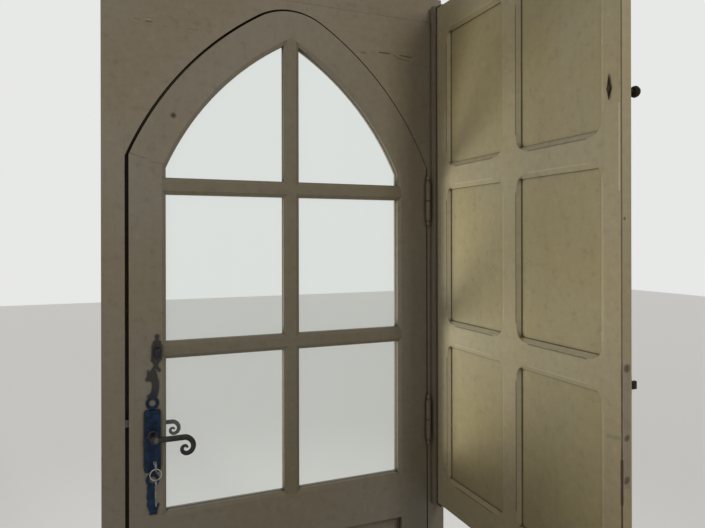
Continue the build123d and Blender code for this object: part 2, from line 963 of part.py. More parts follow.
outside_face = leaf_back + plate_thickness
half_side = spindle_side / 2
spindle = block(
    lock_x - half_side, lock_x + half_side, box_front - lever_face_gap, outside_face + lever_face_gap,
    lever_height - half_side, lever_height + half_side,
)
export("lever_inside", lever(box_front, -1, front - lever_standoff, 1) + spindle)
export(
    "lever_outside",
    lever(outside_face, 1, leaf_back + outside_lever_standoff, outside_lever_share),
)

# Follower: a hub on the spindle with an arm that draws the latch back.
hub_y = lock_mid_y - latch_thickness / 2
follower = across(lock_x, hub_y, lever_height, follower_hub_radius, latch_thickness)
arm = Pos(0, 0, arm_length / 2) * Box(arm_width, latch_thickness, arm_length)
follower += Pos(lock_x, lock_mid_y, lever_height) * Rot(0, arm_start, 0) * arm
head_x = lock_x + arm_length * sin(radians(arm_start))
head_z = lever_height + arm_length * cos(radians(arm_start))
follower += across(head_x, hub_y, head_z, arm_head_radius, latch_thickness)
follower -= block(
    lock_x - half_side, lock_x + half_side, hub_y - beyond, hub_y + latch_thickness + beyond,
    lever_height - half_side, lever_height + half_side,
)
export("lever_follower", follower)

# Latch: a flat bar with a sloped nose and a notch for the follower's arm.
nose_x = leaf_left - latch_reach
latch_tail = nose_x + latch_length
half_thick = latch_thickness / 2
latch_profile = polygon(
    (nose_x, latch_y - half_thick),
    (latch_tail, latch_y - half_thick),
    (latch_tail, latch_y + half_thick),
    (nose_x + latch_thickness, latch_y + half_thick),
    (nose_x, latch_y - half_thick + latch_nose_land),
)
latch = Pos(0, 0, latch_z - latch_height / 2) * extrude(latch_profile, amount=latch_height)
notch_half = arm_head_radius + notch_play
latch -= block(
    head_x - notch_half, head_x + notch_half, latch_y - latch_thickness, latch_y + latch_thickness,
    latch_z - latch_height, lever_height + arm_length + arm_head_radius + notch_play,
)
export("latch_bolt", latch)

# Night bolt and the thumb turn above the lever.
bolt_start = leaf_left + night_bolt_set_back
night_bolt = along(
    bolt_start, bolt_start + night_bolt_length, lock_mid_y, turn_height, night_bolt_radius
)
night_bolt = chamfer(night_bolt.edges().group_by(Axis.X)[0], night_bolt_chamfer)
export("night_bolt", night_bolt)
turn_back = turn_face - turn_face_gap
turn_front = turn_back - turn_collar_length
thumb_turn = across(turn_x, turn_front, turn_height, turn_collar_radius, turn_collar_length)
grip = block(
    turn_x - turn_grip_width / 2, turn_x + turn_grip_width / 2,
    turn_front - turn_grip_depth, turn_front,
    turn_height - turn_grip_height / 2, turn_height + turn_grip_height / 2,
)
thumb_turn += fillet(grip.edges().filter_by(Axis.Y), turn_grip_corner)
thumb_turn += across(
    turn_x, turn_back, turn_height, turn_spindle_radius, lock_mid_y + night_bolt_radius - turn_back
)
export("thumb_turn", thumb_turn)


# Key: its shank passes the box into the mortise case, and its bow stands
# upright. A wire ring hangs from the bow and a second key from the ring.
def bow(x, y, z, radius, rod):
    """A key's bow: an upright ring seen edge on from the room."""
    return Pos(x, y, z) * Rot(0, 90, 0) * polygon_ring(radius, rod, key_rod_sides)


key_y = box_front - key_reach
bit_back = lock_mid_y + key_bit_length / 2
key = bow(key_x, key_y, key_height, key_bow_radius, key_bow_rod)
key += across(
    key_x, key_y + key_bow_radius, key_height, key_shank_radius, bit_back - key_y - key_bow_radius
)
key += across(
    key_x, box_front - key_collar_gap - key_collar_length, key_height,
    key_collar_radius, key_collar_length,
)
key += block(
    key_x - key_bit_width / 2, key_x + key_bit_width / 2, bit_back - key_bit_length, bit_back,
    key_height - key_bit_drop, key_height,
)
export("key", key)

wire_top = key_height - key_bow_radius + key_bow_rod + wire_radius + link_gap
wire_height = wire_top - wire_ring_radius
wire_ring = Pos(key_x, key_y, wire_height) * Rot(90, 0, 0) * polygon_ring(
    wire_ring_radius, wire_radius, wire_sides
)
export("key_ring", wire_ring)
spare_top = wire_height - wire_ring_radius + wire_radius + spare_rod + link_gap
spare_height = spare_top - spare_bow_radius
spare_foot = spare_top + spare_rod - spare_length
spare_key = bow(key_x, key_y, spare_height, spare_bow_radius, spare_rod)
spare_key += upright(key_x, key_y, spare_foot, spare_height - spare_bow_radius, spare_rod)
spare_key += block(
    key_x - key_bit_width / 2, key_x + key_bit_width / 2, key_y - spare_bit_reach, key_y,
    spare_foot + spare_rod, spare_foot + spare_rod + spare_bit_height,
)
export("spare_key", spare_key)


# Shutter: stands open at a right angle to the door. Its own outlines are
# drawn across from the hanging edge and up, on the face that meets the door.
batten_left = opening_half + batten_offset
batten_front = front - batten_depth
shutter_face = batten_left + shutter_face_offset
shutter_back = shutter_face + shutter_thickness
pivot_x = shutter_face + shutter_thickness / 2
pivot_y = batten_front - pivot_setback
hanging_edge = pivot_y + pivot_edge_distance
free_edge = hanging_edge - shutter_width
shutter_top = shutter_bottom + shutter_height
row_height = (
    shutter_height - shutter_top_rail - shutter_bottom_rail - 2 * shutter_mid_rail
) / 3


def shutter_plane(x):
    return Plane(origin=(x, hanging_edge, 0), x_dir=(0, -1, 0), z_dir=(-1, 0, 0))


def sheet(outline, x0, x1):
    """An outline across the shutter, made solid from x0 to x1."""
    return extrude(shutter_plane(x1) * outline, amount=x1 - x0)


def stopped(u0, u1, z0, z1, grow):
    """An opening grown on each side by a chamfer that runs out before the corners."""
    points = []
    corners = [(u0, z0), (u1, z0), (u1, z1), (u0, z1)]
    for index, start in enumerate(corners):
        end = corners[(index + 1) % 4]
        length = abs(end[0] - start[0]) + abs(end[1] - start[1])
        step = ((end[0] - start[0]) / length, (end[1] - start[1]) / length)
        out = (step[1], -step[0])
        for run, rise in (
            (0, 0),
            (chamfer_stop * chamfer_bow_run, chamfer_bow_rise),
            (chamfer_stop, 1),
            (length - chamfer_stop, 1),
            (length - chamfer_stop * chamfer_bow_run, chamfer_bow_rise),
        ):
            points.append(
                (
                    start[0] + step[0] * run + out[0] * rise * grow,
                    start[1] + step[1] * run + out[1] * rise * grow,
                )
            )
    return polygon(*points)


column_edges = [
    (hanging_stile_width, shutter_muntin_start),
    (shutter_muntin_start + shutter_muntin_width, shutter_width - free_stile_width),
]
row_edges = []
for index in range(3):
    row_foot = shutter_bottom + shutter_bottom_rail + index * (row_height + shutter_mid_rail)
    row_edges.append((row_foot, row_foot + row_height))

panel_back = shutter_face + panel_depth + shutter_panel_thickness
shutter_slab = sheet(
    rectangle(0, shutter_width, shutter_bottom, shutter_top), shutter_face, shutter_back
)
shutter_slab = fillet(
    shutter_slab.edges().filter_by(Axis.Z).group_by(Axis.Y)[-1], hanging_edge_round
)
for u0, u1 in column_edges:
    for z0, z1 in row_edges:
        shutter_slab -= sheet(
            rectangle(u0, u1, z0, z1), shutter_face - beyond, shutter_back + beyond
        )
        shutter_slab -= sheet(
            rectangle(u0 - groove_depth, u1 + groove_depth, z0 - groove_depth, z1 + groove_depth),
            shutter_face + panel_depth, panel_back,
        )
        shutter_slab -= loft(
            [
                shutter_plane(shutter_face) * stopped(u0, u1, z0, z1, chamfer_width),
                shutter_plane(shutter_face + chamfer_depth) * stopped(u0, u1, z0, z1, 0),
            ],
            ruled=True,
        )

# Pivots: a bracket let into the batten carries a pin that enters a bush in
# the end of the hanging stile.
ends = (
    (shutter_top, 1),
    (shutter_bottom, -1),
)
pivot_brackets = []
pivot_bushes = []
batten = block(
    batten_left, batten_left + batten_width, batten_front, front,
    shutter_bottom - batten_overrun, shutter_top + batten_overrun,
)
for end, up in ends:
    arm_start_z = end + up * pivot_end_gap
    arm_end_z = arm_start_z + up * pivot_arm_thickness
    plate_end_z = arm_end_z - up * pivot_plate_height
    arm_z = sorted((arm_start_z, arm_end_z))
    plate_z = sorted((plate_end_z, arm_end_z))
    pin_end = end - up * pivot_pin_length
    bush_end = pin_end - up
    arm_half = pivot_arm_width / 2
    recess = block(
        pivot_x - arm_half, pivot_x + arm_half,
        batten_front, batten_front + pivot_plate_thickness, *plate_z,
    )
    batten -= recess
    bracket = recess + block(
        pivot_x - arm_half, pivot_x + arm_half,
        pivot_y - pivot_arm_overhang, batten_front + pivot_plate_thickness, *arm_z,
    )
    pin_z = sorted((pin_end, arm_end_z))
    bracket += upright(pivot_x, pivot_y, *pin_z, pivot_pin_radius)
    collar_z = sorted((end + up * pivot_collar_gap, arm_end_z))
    bracket += upright(pivot_x, pivot_y, *collar_z, pivot_collar_radius)
    pivot_brackets.append(bracket)
    bush_z = sorted((end, bush_end))
    bush = upright(pivot_x, pivot_y, *bush_z, pivot_collar_radius)
    shutter_slab -= bush
    bush -= upright(pivot_x, pivot_y, *bush_z, pivot_pin_radius + pivot_pin_clearance)
    pivot_bushes.append(bush)
export("shutter_batten", batten)
export("pivot_brackets", Compound(children=pivot_brackets))
export("pivot_bushes", Compound(children=pivot_bushes))

# Turn knob near the free edge: its stem passes through the stile to a
# spindle-shaped catch on the other face.
knob_y = free_edge + turn_knob_edge
stem_hole = turn_knob_stem_radius + turn_knob_stem_clearance
stem_bore = along(
    shutter_face - beyond, shutter_back + beyond, knob_y, turn_knob_height, stem_hole
)
shutter_slab -= stem_bore
rose = along(
    shutter_back, shutter_back + turn_knob_rose_thickness, knob_y, turn_knob_height,
    turn_knob_rose_radius,
)
rose -= stem_bore
export("turn_rose", rose)
knob_end = shutter_back + turn_knob_reach
knob_start = shutter_back + turn_knob_rose_thickness + turn_knob_neck
turn_knob = along(
    shutter_face - turn_cam_gap - turn_cam_thickness, knob_start, knob_y, turn_knob_height,
    turn_knob_stem_radius,
)
knob_ball = along(knob_start, knob_end, knob_y, turn_knob_height, turn_knob_radius)
turn_knob += chamfer(knob_ball.edges().filter_by(GeomType.CIRCLE), turn_knob_chamfer)
export("turn_knob", turn_knob)
knob_u = hanging_edge - knob_y
catch = make_face(
    [
        ThreePointArc(
            (knob_u, turn_knob_height - turn_cam_down),
            (knob_u + turn_cam_half_width, turn_knob_height),
            (knob_u, turn_knob_height + turn_cam_up),
        ),
        ThreePointArc(
            (knob_u, turn_knob_height + turn_cam_up),
            (knob_u - turn_cam_half_width, turn_knob_height),
            (knob_u, turn_knob_height - turn_cam_down),
        ),
    ]
)
catch_x = shutter_face - turn_cam_gap
catch += Pos(knob_u, turn_knob_height) * Circle(turn_knob_stem_radius + turn_cam_eye_wall)
catch_solid = sheet(catch, catch_x - turn_cam_thickness, catch_x)
catch_solid -= along(
    catch_x - turn_cam_thickness - beyond, catch_x + beyond, knob_y, turn_knob_height,
    turn_knob_stem_radius + turn_cam_bore_gap,
)
export("turn_catch", catch_solid)

# Edge plate let into the free edge, and the sliding bolt above its foot.
edge_mid_x = (shutter_face + shutter_back) / 2
edge_plate = block(
    edge_mid_x - edge_plate_width / 2, edge_mid_x + edge_plate_width / 2,
    free_edge, free_edge + edge_plate_thickness, edge_plate_bottom, edge_plate_top,
)
shutter_slab -= edge_plate
export("edge_plate", edge_plate)
plate_y0 = free_edge + bolt_set_back
plate_y1 = plate_y0 + bolt_plate_width
bolt_x = shutter_back + bolt_plate_thickness + bolt_rod_lift + bolt_radius
guide_half = bolt_radius + bolt_clearance + bolt_guide_wall
bolt_plate = block(
    shutter_back, shutter_back + bolt_plate_thickness, plate_y0, plate_y1,
    bolt_height - bolt_plate_height / 2, bolt_height + bolt_plate_height / 2,
)
for guide_y in (plate_y0, plate_y1 - bolt_guide_width):
    bolt_plate += block(
        shutter_back, bolt_x + guide_half, guide_y, guide_y + bolt_guide_width,
        bolt_height - guide_half, bolt_height + guide_half,
    )
bolt_plate -= across(
    bolt_x, plate_y0 - beyond, bolt_height, bolt_radius + bolt_clearance,
    bolt_plate_width + 2 * beyond,
)
export("bolt_plate", bolt_plate)
shutter_bolt = across(bolt_x, plate_y0, bolt_height, bolt_radius, bolt_length)
bolt_knob_y = plate_y1 - bolt_guide_width - bolt_knob_radius - bolt_knob_gap
bolt_knob_end = shutter_back + bolt_knob_reach
shutter_bolt += along(
    bolt_x, bolt_knob_end - bolt_knob_radius, bolt_knob_y, bolt_height, bolt_knob_stem_radius
)
bolt_knob = along(
    bolt_knob_end - 2 * bolt_knob_radius, bolt_knob_end, bolt_knob_y, bolt_height, bolt_knob_radius
)
shutter_bolt += chamfer(bolt_knob.edges().group_by(Axis.X)[-1], bolt_knob_chamfer)
export("shutter_bolt", shutter_bolt)

# The slab is parted into stiles, rails and muntins.
inner_u = (hanging_stile_width, shutter_width - free_stile_width)
muntin_u = (shutter_muntin_start, shutter_muntin_start + shutter_muntin_width)


def part_of_shutter(u0, u1, z0, z1):
    return shutter_slab & sheet(rectangle(u0, u1, z0, z1), shutter_face, shutter_back)


export(
    "shutter_stile_hanging",
    part_of_shutter(0, hanging_stile_width, shutter_bottom, shutter_top),
)
export("shutter_stile_free", part_of_shutter(inner_u[1], shutter_width, shutter_bottom, shutter_top))
export("shutter_rail_bottom", part_of_shutter(*inner_u, shutter_bottom, row_edges[0][0]))
export("shutter_rail_lower", part_of_shutter(*inner_u, row_edges[0][1], row_edges[1][0]))
export("shutter_rail_upper", part_of_shutter(*inner_u, row_edges[1][1], row_edges[2][0]))
export("shutter_rail_top", part_of_shutter(*inner_u, row_edges[2][1], shutter_top))
muntins = [part_of_shutter(*muntin_u, *row) for row in row_edges]
export("shutter_muntins", Compound(children=muntins))
tongue = groove_depth - tongue_side_gap
for name, (z0, z1) in zip(("lower", "middle", "upper"), row_edges):
    pair = [
        sheet(
            rectangle(u0 - tongue, u1 + tongue, z0 - tongue, z1 + tongue),
            shutter_face + panel_depth + groove_clearance / 2, panel_back - groove_clearance / 2,
        )
        for u0, u1 in column_edges
    ]
    export("shutter_panels_" + name, Compound(children=pair))
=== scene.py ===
import json
from math import pi, radians

import bmesh
import bpy
import numpy as np
from mathutils import Matrix, Vector


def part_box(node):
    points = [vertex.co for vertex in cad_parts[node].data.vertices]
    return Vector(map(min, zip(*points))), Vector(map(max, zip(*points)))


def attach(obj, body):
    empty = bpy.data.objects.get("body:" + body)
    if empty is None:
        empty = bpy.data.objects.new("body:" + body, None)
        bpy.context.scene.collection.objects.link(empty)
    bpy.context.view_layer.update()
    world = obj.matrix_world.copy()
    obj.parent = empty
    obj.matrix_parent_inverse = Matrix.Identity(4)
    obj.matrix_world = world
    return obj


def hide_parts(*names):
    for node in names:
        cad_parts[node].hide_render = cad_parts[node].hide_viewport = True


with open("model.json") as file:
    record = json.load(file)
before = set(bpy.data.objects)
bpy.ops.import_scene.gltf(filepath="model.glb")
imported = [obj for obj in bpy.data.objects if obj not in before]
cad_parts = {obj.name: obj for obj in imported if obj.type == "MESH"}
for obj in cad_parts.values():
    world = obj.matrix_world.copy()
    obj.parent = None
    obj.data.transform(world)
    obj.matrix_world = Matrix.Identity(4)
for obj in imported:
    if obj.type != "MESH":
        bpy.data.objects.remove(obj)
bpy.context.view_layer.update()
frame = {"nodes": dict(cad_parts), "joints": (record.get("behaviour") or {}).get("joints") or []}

# Where the eye stands. It is before the lock side of the door, 1.52 m above the
# sill's underside, and turned to the right until the open shutter is in view.
scene = bpy.context.scene
scene.view_settings.view_transform = "Standard"

picture_width = 705
picture_height = 528
focal_pixels = 605.9
horizon_row = 238.6
eye = bpy.data.cameras.new("eye")
eye.sensor_width = 36
eye.lens = eye.sensor_width * focal_pixels / picture_width
eye.shift_y = (horizon_row - picture_height / 2) / picture_width
eye.clip_start = 0.05
eye.clip_end = 60
viewer = bpy.data.objects.new("eye", eye)
viewer.matrix_world = (
    Matrix.Translation((-0.5176, -1.756, 1.520))
    @ Matrix.Rotation(radians(-22.636), 4, "Z")
    @ Matrix.Rotation(radians(90), 4, "X")
    @ Matrix.Rotation(radians(-0.105), 4, "Z")
)
scene.collection.objects.link(viewer)
scene.camera = viewer


# Lamps. Daylight comes low through the panes and falls on the open shutter. A
# second light, off to the right, reaches the door past the shutter, and three
# more fill the shadows.
def soft_lamp(name, place, target, width, height, spread, watts, colour):
    """A rectangular lamp that faces a point. Its light spreads by an angle in degrees,
    and the panes don't mirror it."""
    lamp = bpy.data.lights.new(name, "AREA")
    lamp.shape = "RECTANGLE"
    lamp.size = width
    lamp.size_y = height
    lamp.spread = radians(spread)
    lamp.energy = watts
    lamp.color = colour
    holder = bpy.data.objects.new(name, lamp)
    aim = (Vector(target) - Vector(place)).to_track_quat("-Z", "Y")
    holder.matrix_world = Matrix.Translation(place) @ aim.to_matrix().to_4x4()
    holder.visible_glossy = False
    scene.collection.objects.link(holder)


soft_lamp(
    "daylight", (-1.50, 1.05, 0.46), (0.477, -0.38, 1.44),
    width=1.1, height=0.9, spread=42, watts=7.6, colour=(1.0, 0.98, 0.93),
)
soft_lamp(
    "light_past_shutter", (1.30, -6.0, 3.1), (-0.05, 0.0, 2.35),
    width=0.7, height=1.6, spread=54, watts=13.0, colour=(1.0, 0.985, 0.95),
)
soft_lamp(
    "fill_lock_side", (-1.3, -0.9, 1.9), (-0.3, 0.0, 1.3),
    width=0.7, height=0.9, spread=90, watts=0.8, colour=(1.0, 0.98, 0.96),
)
soft_lamp(
    "fill_outside", (1.7, 4.8, 3.0), (0.0, 0.0, 1.2),
    width=1.6, height=1.6, spread=60, watts=13.0, colour=(0.98, 0.99, 1.0),
)
soft_lamp(
    "fill_above", (-1.3, -2.3, 2.9), (0.35, 0.0, 1.9),
    width=1.2, height=0.9, spread=60, watts=1.2, colour=(1.0, 0.97, 0.88),
)


# Frame: jambs, corner boards, head and sill are planed softwood, painted many
# times over. The grain and the brush marks show in the coat, and it has cracked
# along the joint between the head and the corner boards.
class Wire:
    """A socket of a material, so that sums on sockets are written as sums."""

    def __init__(self, nodes, socket):
        self.nodes = nodes
        self.socket = socket

    def sum(self, operation, first, second):
        return self.nodes.node("Math", {"operation": operation}, {0: first, 1: second})

    def __add__(self, other):
        return self.sum("ADD", self, other)

    def __radd__(self, other):
        return self.sum("ADD", other, self)

    def __sub__(self, other):
        return self.sum("SUBTRACT", self, other)

    def __rsub__(self, other):
        return self.sum("SUBTRACT", other, self)

    def __mul__(self, other):
        return self.sum("MULTIPLY", self, other)

    def __rmul__(self, other):
        return self.sum("MULTIPLY", other, self)

    def most(self, other):
        return self.sum("MAXIMUM", self, other)


class Nodes:
    """A node tree, and the one way in which nodes are added to it."""

    def __init__(self, tree):
        self.tree = tree

    def node(self, kind, settings, sockets, out=0):
        """Any node: its settings first, then the values or links of its sockets."""
        node = self.tree.nodes.new("ShaderNode" + kind)
        for key, value in settings.items():
            setattr(node, key, value)
        for key, value in sockets.items():
            self.join(node.inputs[key], value)
        return Wire(self, node.outputs[out])

    def join(self, socket, value):
        if isinstance(value, Wire):
            self.tree.links.new(value.socket, socket)
        else:
            socket.default_value = value


class Finish(Nodes):
    """A finish being mixed: its material, and the place on the piece that it reads."""

    def __init__(self, name):
        self.material = bpy.data.materials.new(name)
        self.material.use_nodes = True
        super().__init__(self.material.node_tree)
        self.shader = self.tree.nodes["Principled BSDF"]
        self.place = self.node("TexCoord", {}, {}, "Object")

    def cloud(self, scale, detail=3.0, rough=0.55, shape=(1, 1, 1), warp=0.0, out=0):
        """Smooth noise from 0 to 1. The shape squeezes it along each axis."""
        place = self.node("VectorMath", {"operation": "MULTIPLY"}, {0: self.place, 1: shape})
        return self.node(
            "TexNoise",
            {"noise_dimensions": "3D"},
            {
                "Vector": place, "Scale": scale, "Detail": detail, "Roughness": rough,
                "Distortion": warp,
            },
            out,
        )

    def rise(self, value, low, high):
        """0 below low, 1 above high and a smooth rise between them."""
        return self.node(
            "MapRange",
            {"interpolation_type": "SMOOTHSTEP"},
            {"Value": value, "From Min": low, "From Max": high},
        )

    def blend(self, share, first, second):
        """One colour going over to another."""
        return self.node("Mix", {"data_type": "RGBA"}, {0: share, 6: first, 7: second}, 2)

    def hollow(self, reach):
        """1 deep in a corner between surfaces, 0 in the open."""
        return 1.0 - self.node("AmbientOcclusion", {"samples": 5}, {"Distance": reach}, "AO")

    def arris(self, reach):
        """1 on an outer edge, 0 away from it."""
        open_air = self.node(
            "AmbientOcclusion", {"samples": 5, "inside": True}, {"Distance": reach}, "AO"
        )
        return self.rise(1.0 - open_air, 0.25, 0.7)

    def wander(self):
        """A small drift of place, which makes ruled lines waver."""
        drift = self.cloud(38.0, 3.0, out=1)
        return self.node("VectorMath", {"operation": "SUBTRACT"}, {0: drift, 1: (0.5, 0.5, 0.5)})

    def line(self, start, end, width, waver, wander):
        """1 on a thin line between two points, 0 away from it. A very short line is a dot."""
        start = Vector(start)
        run = Vector(end) - start
        drift = self.node("VectorMath", {"operation": "SCALE"}, {0: wander, "Scale": waver})
        away = self.node("VectorMath", {"operation": "SUBTRACT"}, {0: self.place, 1: start})
        away = self.node("VectorMath", {"operation": "ADD"}, {0: away, 1: drift})
        along = self.node("VectorMath", {"operation": "DOT_PRODUCT"}, {0: away, 1: run}, 1)
        share = self.node(
            "Math", {"operation": "DIVIDE", "use_clamp": True}, {0: along, 1: run.length_squared}
        )
        foot = self.node("VectorMath", {"operation": "SCALE"}, {0: run, "Scale": share})
        off = self.node("VectorMath", {"operation": "DISTANCE"}, {0: away, 1: foot}, 1)
        return 1.0 - self.rise(off, width * 0.35, width)

    def bump(self, height, distance, strength, under):
        return self.node(
            "Bump", {},
            {"Height": height, "Distance": distance, "Strength": strength, "Normal": under},
        )

    def feed(self, **sockets):
        """Sets or links the shader's own sockets, and hands over the material."""
        for key, value in sockets.items():
            self.join(self.shader.inputs[key.replace("_", " ")], value)
        return self.material


def shade(red, green, blue):
    """A colour as it looks on a screen, 0 to 255, turned to light values."""
    seen = np.array((red, green, blue)) / 255
    light = np.where(seen <= 0.04045, seen / 12.92, ((seen + 0.055) / 1.055) ** 2.4)
    return (*(float(value) for value in light), 1.0)


# The dark tone of the corners, partly dirt and partly painted shade.
grime_and_shade = shade(50, 43, 32)
along_grain = {"x": (1.6, 60, 60), "y": (60, 1.6, 60), "z": (60, 60, 1.6)}


def old_paint(name, body, warm, cool, grain, marks=()):
    """Old oil paint on planed wood. The tone drifts from warm to cool in wide
    patches, and grain and brush marks run one way. The corners are darkened,
    partly dirt and partly painted shade, and the arrises are paler in patches,
    partly where the coat is thin and partly a painted highlight. A mark is a crack,
    a stain, a scuff, a painted shadow or a painted highlight: a line with its
    width, its wavering, its colour, its share and its depth."""
    coat = Finish(name)
    drift = coat.cloud(1.9, 2.0)
    patch = coat.cloud(9.0, 4.0, 0.62)
    mottle = coat.cloud(48.0, 4.0, 0.7)
    fleck = coat.cloud(420.0, 2.0)
    fibre = coat.cloud(1.0, 5.0, 0.6, along_grain[grain], 0.25)
    brush = coat.cloud(5.0, 2.0, 0.5, along_grain[grain])
    colour = coat.blend(coat.rise(drift, 0.32, 0.68), warm, cool)
    colour = coat.blend(coat.rise(patch, 0.3, 0.7) * 0.5, colour, body)
    dark = [0.70 * value for value in body[:3]] + [1.0]
    light = [min(1.0, 1.25 * value) for value in body[:3]] + [1.0]
    colour = coat.blend(coat.rise(fibre, 0.5, 0.85) * 0.25, colour, dark)
    colour = coat.blend(coat.rise(mottle, 0.52, 0.72) * 0.50, colour, dark)
    colour = coat.blend(coat.rise(mottle, 0.48, 0.28) * 0.42, colour, light)
    # The paler arrises: partly thin paint and partly a painted highlight.
    thin_and_highlit = coat.arris(0.003) * coat.rise(coat.cloud(26.0, 4.0), 0.35, 0.6)
    colour = coat.blend(thin_and_highlit * 0.6, colour, light)
    # The darker corners and creases: partly dirt and partly painted shade.
    hollow = coat.hollow(0.010)
    crease = coat.rise(hollow, 0.10, 0.48) * (1.0 - coat.rise(hollow, 0.68, 0.92))
    colour = coat.blend(crease * (0.5 + patch * 0.5), colour, grime_and_shade)
    height = fibre * 0.45 + brush * 0.7 + fleck * 0.05 + coat.cloud(4.0, 3.0) * 1.5 + mottle * 0.4
    wander = coat.wander()
    for start, end, width, waver, tint, share, depth in marks:
        mark = coat.line(start, end, width, waver, wander)
        colour = coat.blend(mark * share, colour, tint)
        height = height - mark * depth
    eased = coat.node("Bevel", {"samples": 4}, {"Radius": 0.0010})
    return coat.feed(
        Base_Color=colour,
        Specular_IOR_Level=0.3,
        Roughness=0.42 + patch * 0.16 + fleck * 0.05 + crease * 0.2,
        Normal=coat.bump(height, 0.0007, 0.9, eased),
    )


def dress(material, *nodes):
    """Gives pieces of the door a finish."""
    for node in nodes:
        piece = frame["nodes"][node]
        piece.data.materials.clear()
        piece.data.materials.append(material)


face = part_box("frame_head")[0][1]
board_body = shade(121, 112, 97)
board_warm = shade(119, 108, 88)
board_cool = shade(124, 117, 104)
crack = shade(54, 46, 34)
faint = shade(88, 79, 62)
head_cracks_and_highlight = (
    ((-0.432, face, 2.108), (-0.420, face, 2.107), 0.0026, 0.006, faint, 0.6, 0.3),
    ((-0.402, face, 2.105), (-0.388, face, 2.102), 0.0030, 0.006, crack, 0.5, 0.8),
    # The pale line just above this crack is a painted highlight on its upper lip.
    ((-0.404, face, 2.110), (-0.392, face, 2.108), 0.0022, 0.006, shade(150, 142, 124), 0.5, 0.0),
    ((-0.296, face, 2.098), (-0.268, face, 2.096), 0.0016, 0.006, faint, 0.5, 0.2),
    ((0.226, face, 2.092), (0.242, face, 2.093), 0.0024, 0.006, crack, 0.6, 0.6),
    ((0.262, face, 2.098), (0.270, face, 2.098), 0.0020, 0.006, faint, 0.5, 0.3),
    ((0.287, face, 2.100), (0.325, face, 2.100), 0.0028, 0.006, crack, 0.85, 1.2),
    ((0.336, face, 2.095), (0.350, face, 2.095), 0.0022, 0.006, crack, 0.6, 0.6),
    ((0.345, face, 2.090), (0.362, face, 2.089), 0.0020, 0.006, faint, 0.7, 0.4),
    ((0.360, face, 2.098), (0.400, face, 2.096), 0.0026, 0.006, crack, 0.75, 1.0),
    ((0.352, face, 2.088), (0.392, face, 2.084), 0.0022, 0.006, faint, 0.8, 0.5),
)
upright_boards = old_paint("frame_paint_upright", board_body, board_warm, board_cool, "z")
level_boards = old_paint(
    "frame_paint_level", board_body, board_warm, board_cool, "x", head_cracks_and_highlight
)
dress(upright_boards, "jamb_lock_side", "jamb_hinge_side")
dress(level_boards, "frame_corner_left", "frame_corner_right", "frame_head", "frame_sill")


# Batten and pivots: a painted strip on the jamb, with two flat iron brackets let
# into it whose pins carry the shutter. The iron is bare and dull.
dress(upright_boards, "shutter_batten")


def forged(name, dark, bright, rust, roughness, hammer, upper=None):
    """Iron from the fire. Shallow hammer dents, rust in the creases and
    scattered over the scale, edges polished bright by hands. The upper tone, if
    there is one, comes in between two heights."""
    iron = Finish(name)
    dent = iron.node(
        "TexVoronoi", {"feature": "SMOOTH_F1"},
        {"Vector": iron.place, "Scale": hammer, "Smoothness": 0.9},
    )
    scale = iron.cloud(480.0, 4.0)
    patch = iron.cloud(55.0, 4.0, 0.65)
    colour = iron.blend(iron.rise(patch, 0.35, 0.7), dark, bright)
    if upper:
        low, high, tone = upper
        height = iron.node("SeparateXYZ", {}, {0: iron.place}, 2)
        colour = iron.blend(iron.rise(height + patch * 0.04, low, high) * 0.9, colour, tone)
    colour = iron.blend(iron.rise(scale, 0.55, 0.75) * 0.3, colour, rust)
    colour = iron.blend(iron.rise(iron.hollow(0.006), 0.4, 0.95) * 0.6, colour, rust)
    polish = iron.arris(0.0025)
    paler_edge = [min(1.0, 2.6 * value + 0.02) for value in bright[:3]] + [1.0]
    colour = iron.blend(polish * 0.55, colour, paler_edge)
    eased = iron.node("Bevel", {"samples": 4}, {"Radius": 0.0011})
    return iron.feed(
        Base_Color=colour,
        Metallic=0.8,
        Roughness=roughness + scale * 0.22 - polish * 0.12,
        Normal=iron.bump(dent + scale * 0.12 + patch * 0.3, 0.0007, 0.8, eased),
    )


dull_steel = forged(
    "dull_steel", shade(104, 104, 103), shade(138, 139, 139), shade(84, 64, 48), 0.36, 60.0
)
dress(dull_steel, "pivot_brackets", "pivot_bushes")


# Strike plate: mild steel, let flush into the edge of the jamb, its holes cut
# for the latch and the night bolt. Plain and a little rusty.
dress(dull_steel, "strike_plate")


# Door leaf: stiles, rails, bars and the two curved head pieces are of the same
# softwood. Their greyer coat has cracked at the joint of lock stile and arch, and
# a peg hole shows dark in the left head piece.
leaf_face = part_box("lock_stile")[0][1]
leaf_body = shade(119, 111, 97)
leaf_warm = shade(118, 108, 89)
leaf_cool = shade(120, 114, 103)
joint_cracks = (
    ((-0.446, leaf_face, 1.749), (-0.405, leaf_face, 1.736), 0.0022, 0.006, faint, 0.6, 0.5),
    ((-0.396, leaf_face, 1.729), (-0.360, leaf_face, 1.722), 0.0018, 0.006, faint, 0.5, 0.4),
)
peg = (-0.332, leaf_face, 1.856)
peg_foot = (-0.332, leaf_face, 1.8565)
peg_hole = (
    (peg, peg_foot, 0.0105, 0.002, shade(44, 37, 30), 0.85, 1.0),
    (peg, peg_foot, 0.0066, 0.001, shade(96, 88, 74), 0.8, 0.0),
    (peg, peg_foot, 0.0044, 0.001, shade(24, 20, 16), 0.95, 1.5),
)
leaf_upright = old_paint("leaf_paint_upright", leaf_body, leaf_warm, leaf_cool, "z", joint_cracks)
leaf_arched = old_paint(
    "leaf_paint_arched", leaf_body, leaf_warm, leaf_cool, "z", joint_cracks + peg_hole
)
leaf_level = old_paint("leaf_paint_level", leaf_body, leaf_warm, leaf_cool, "x")
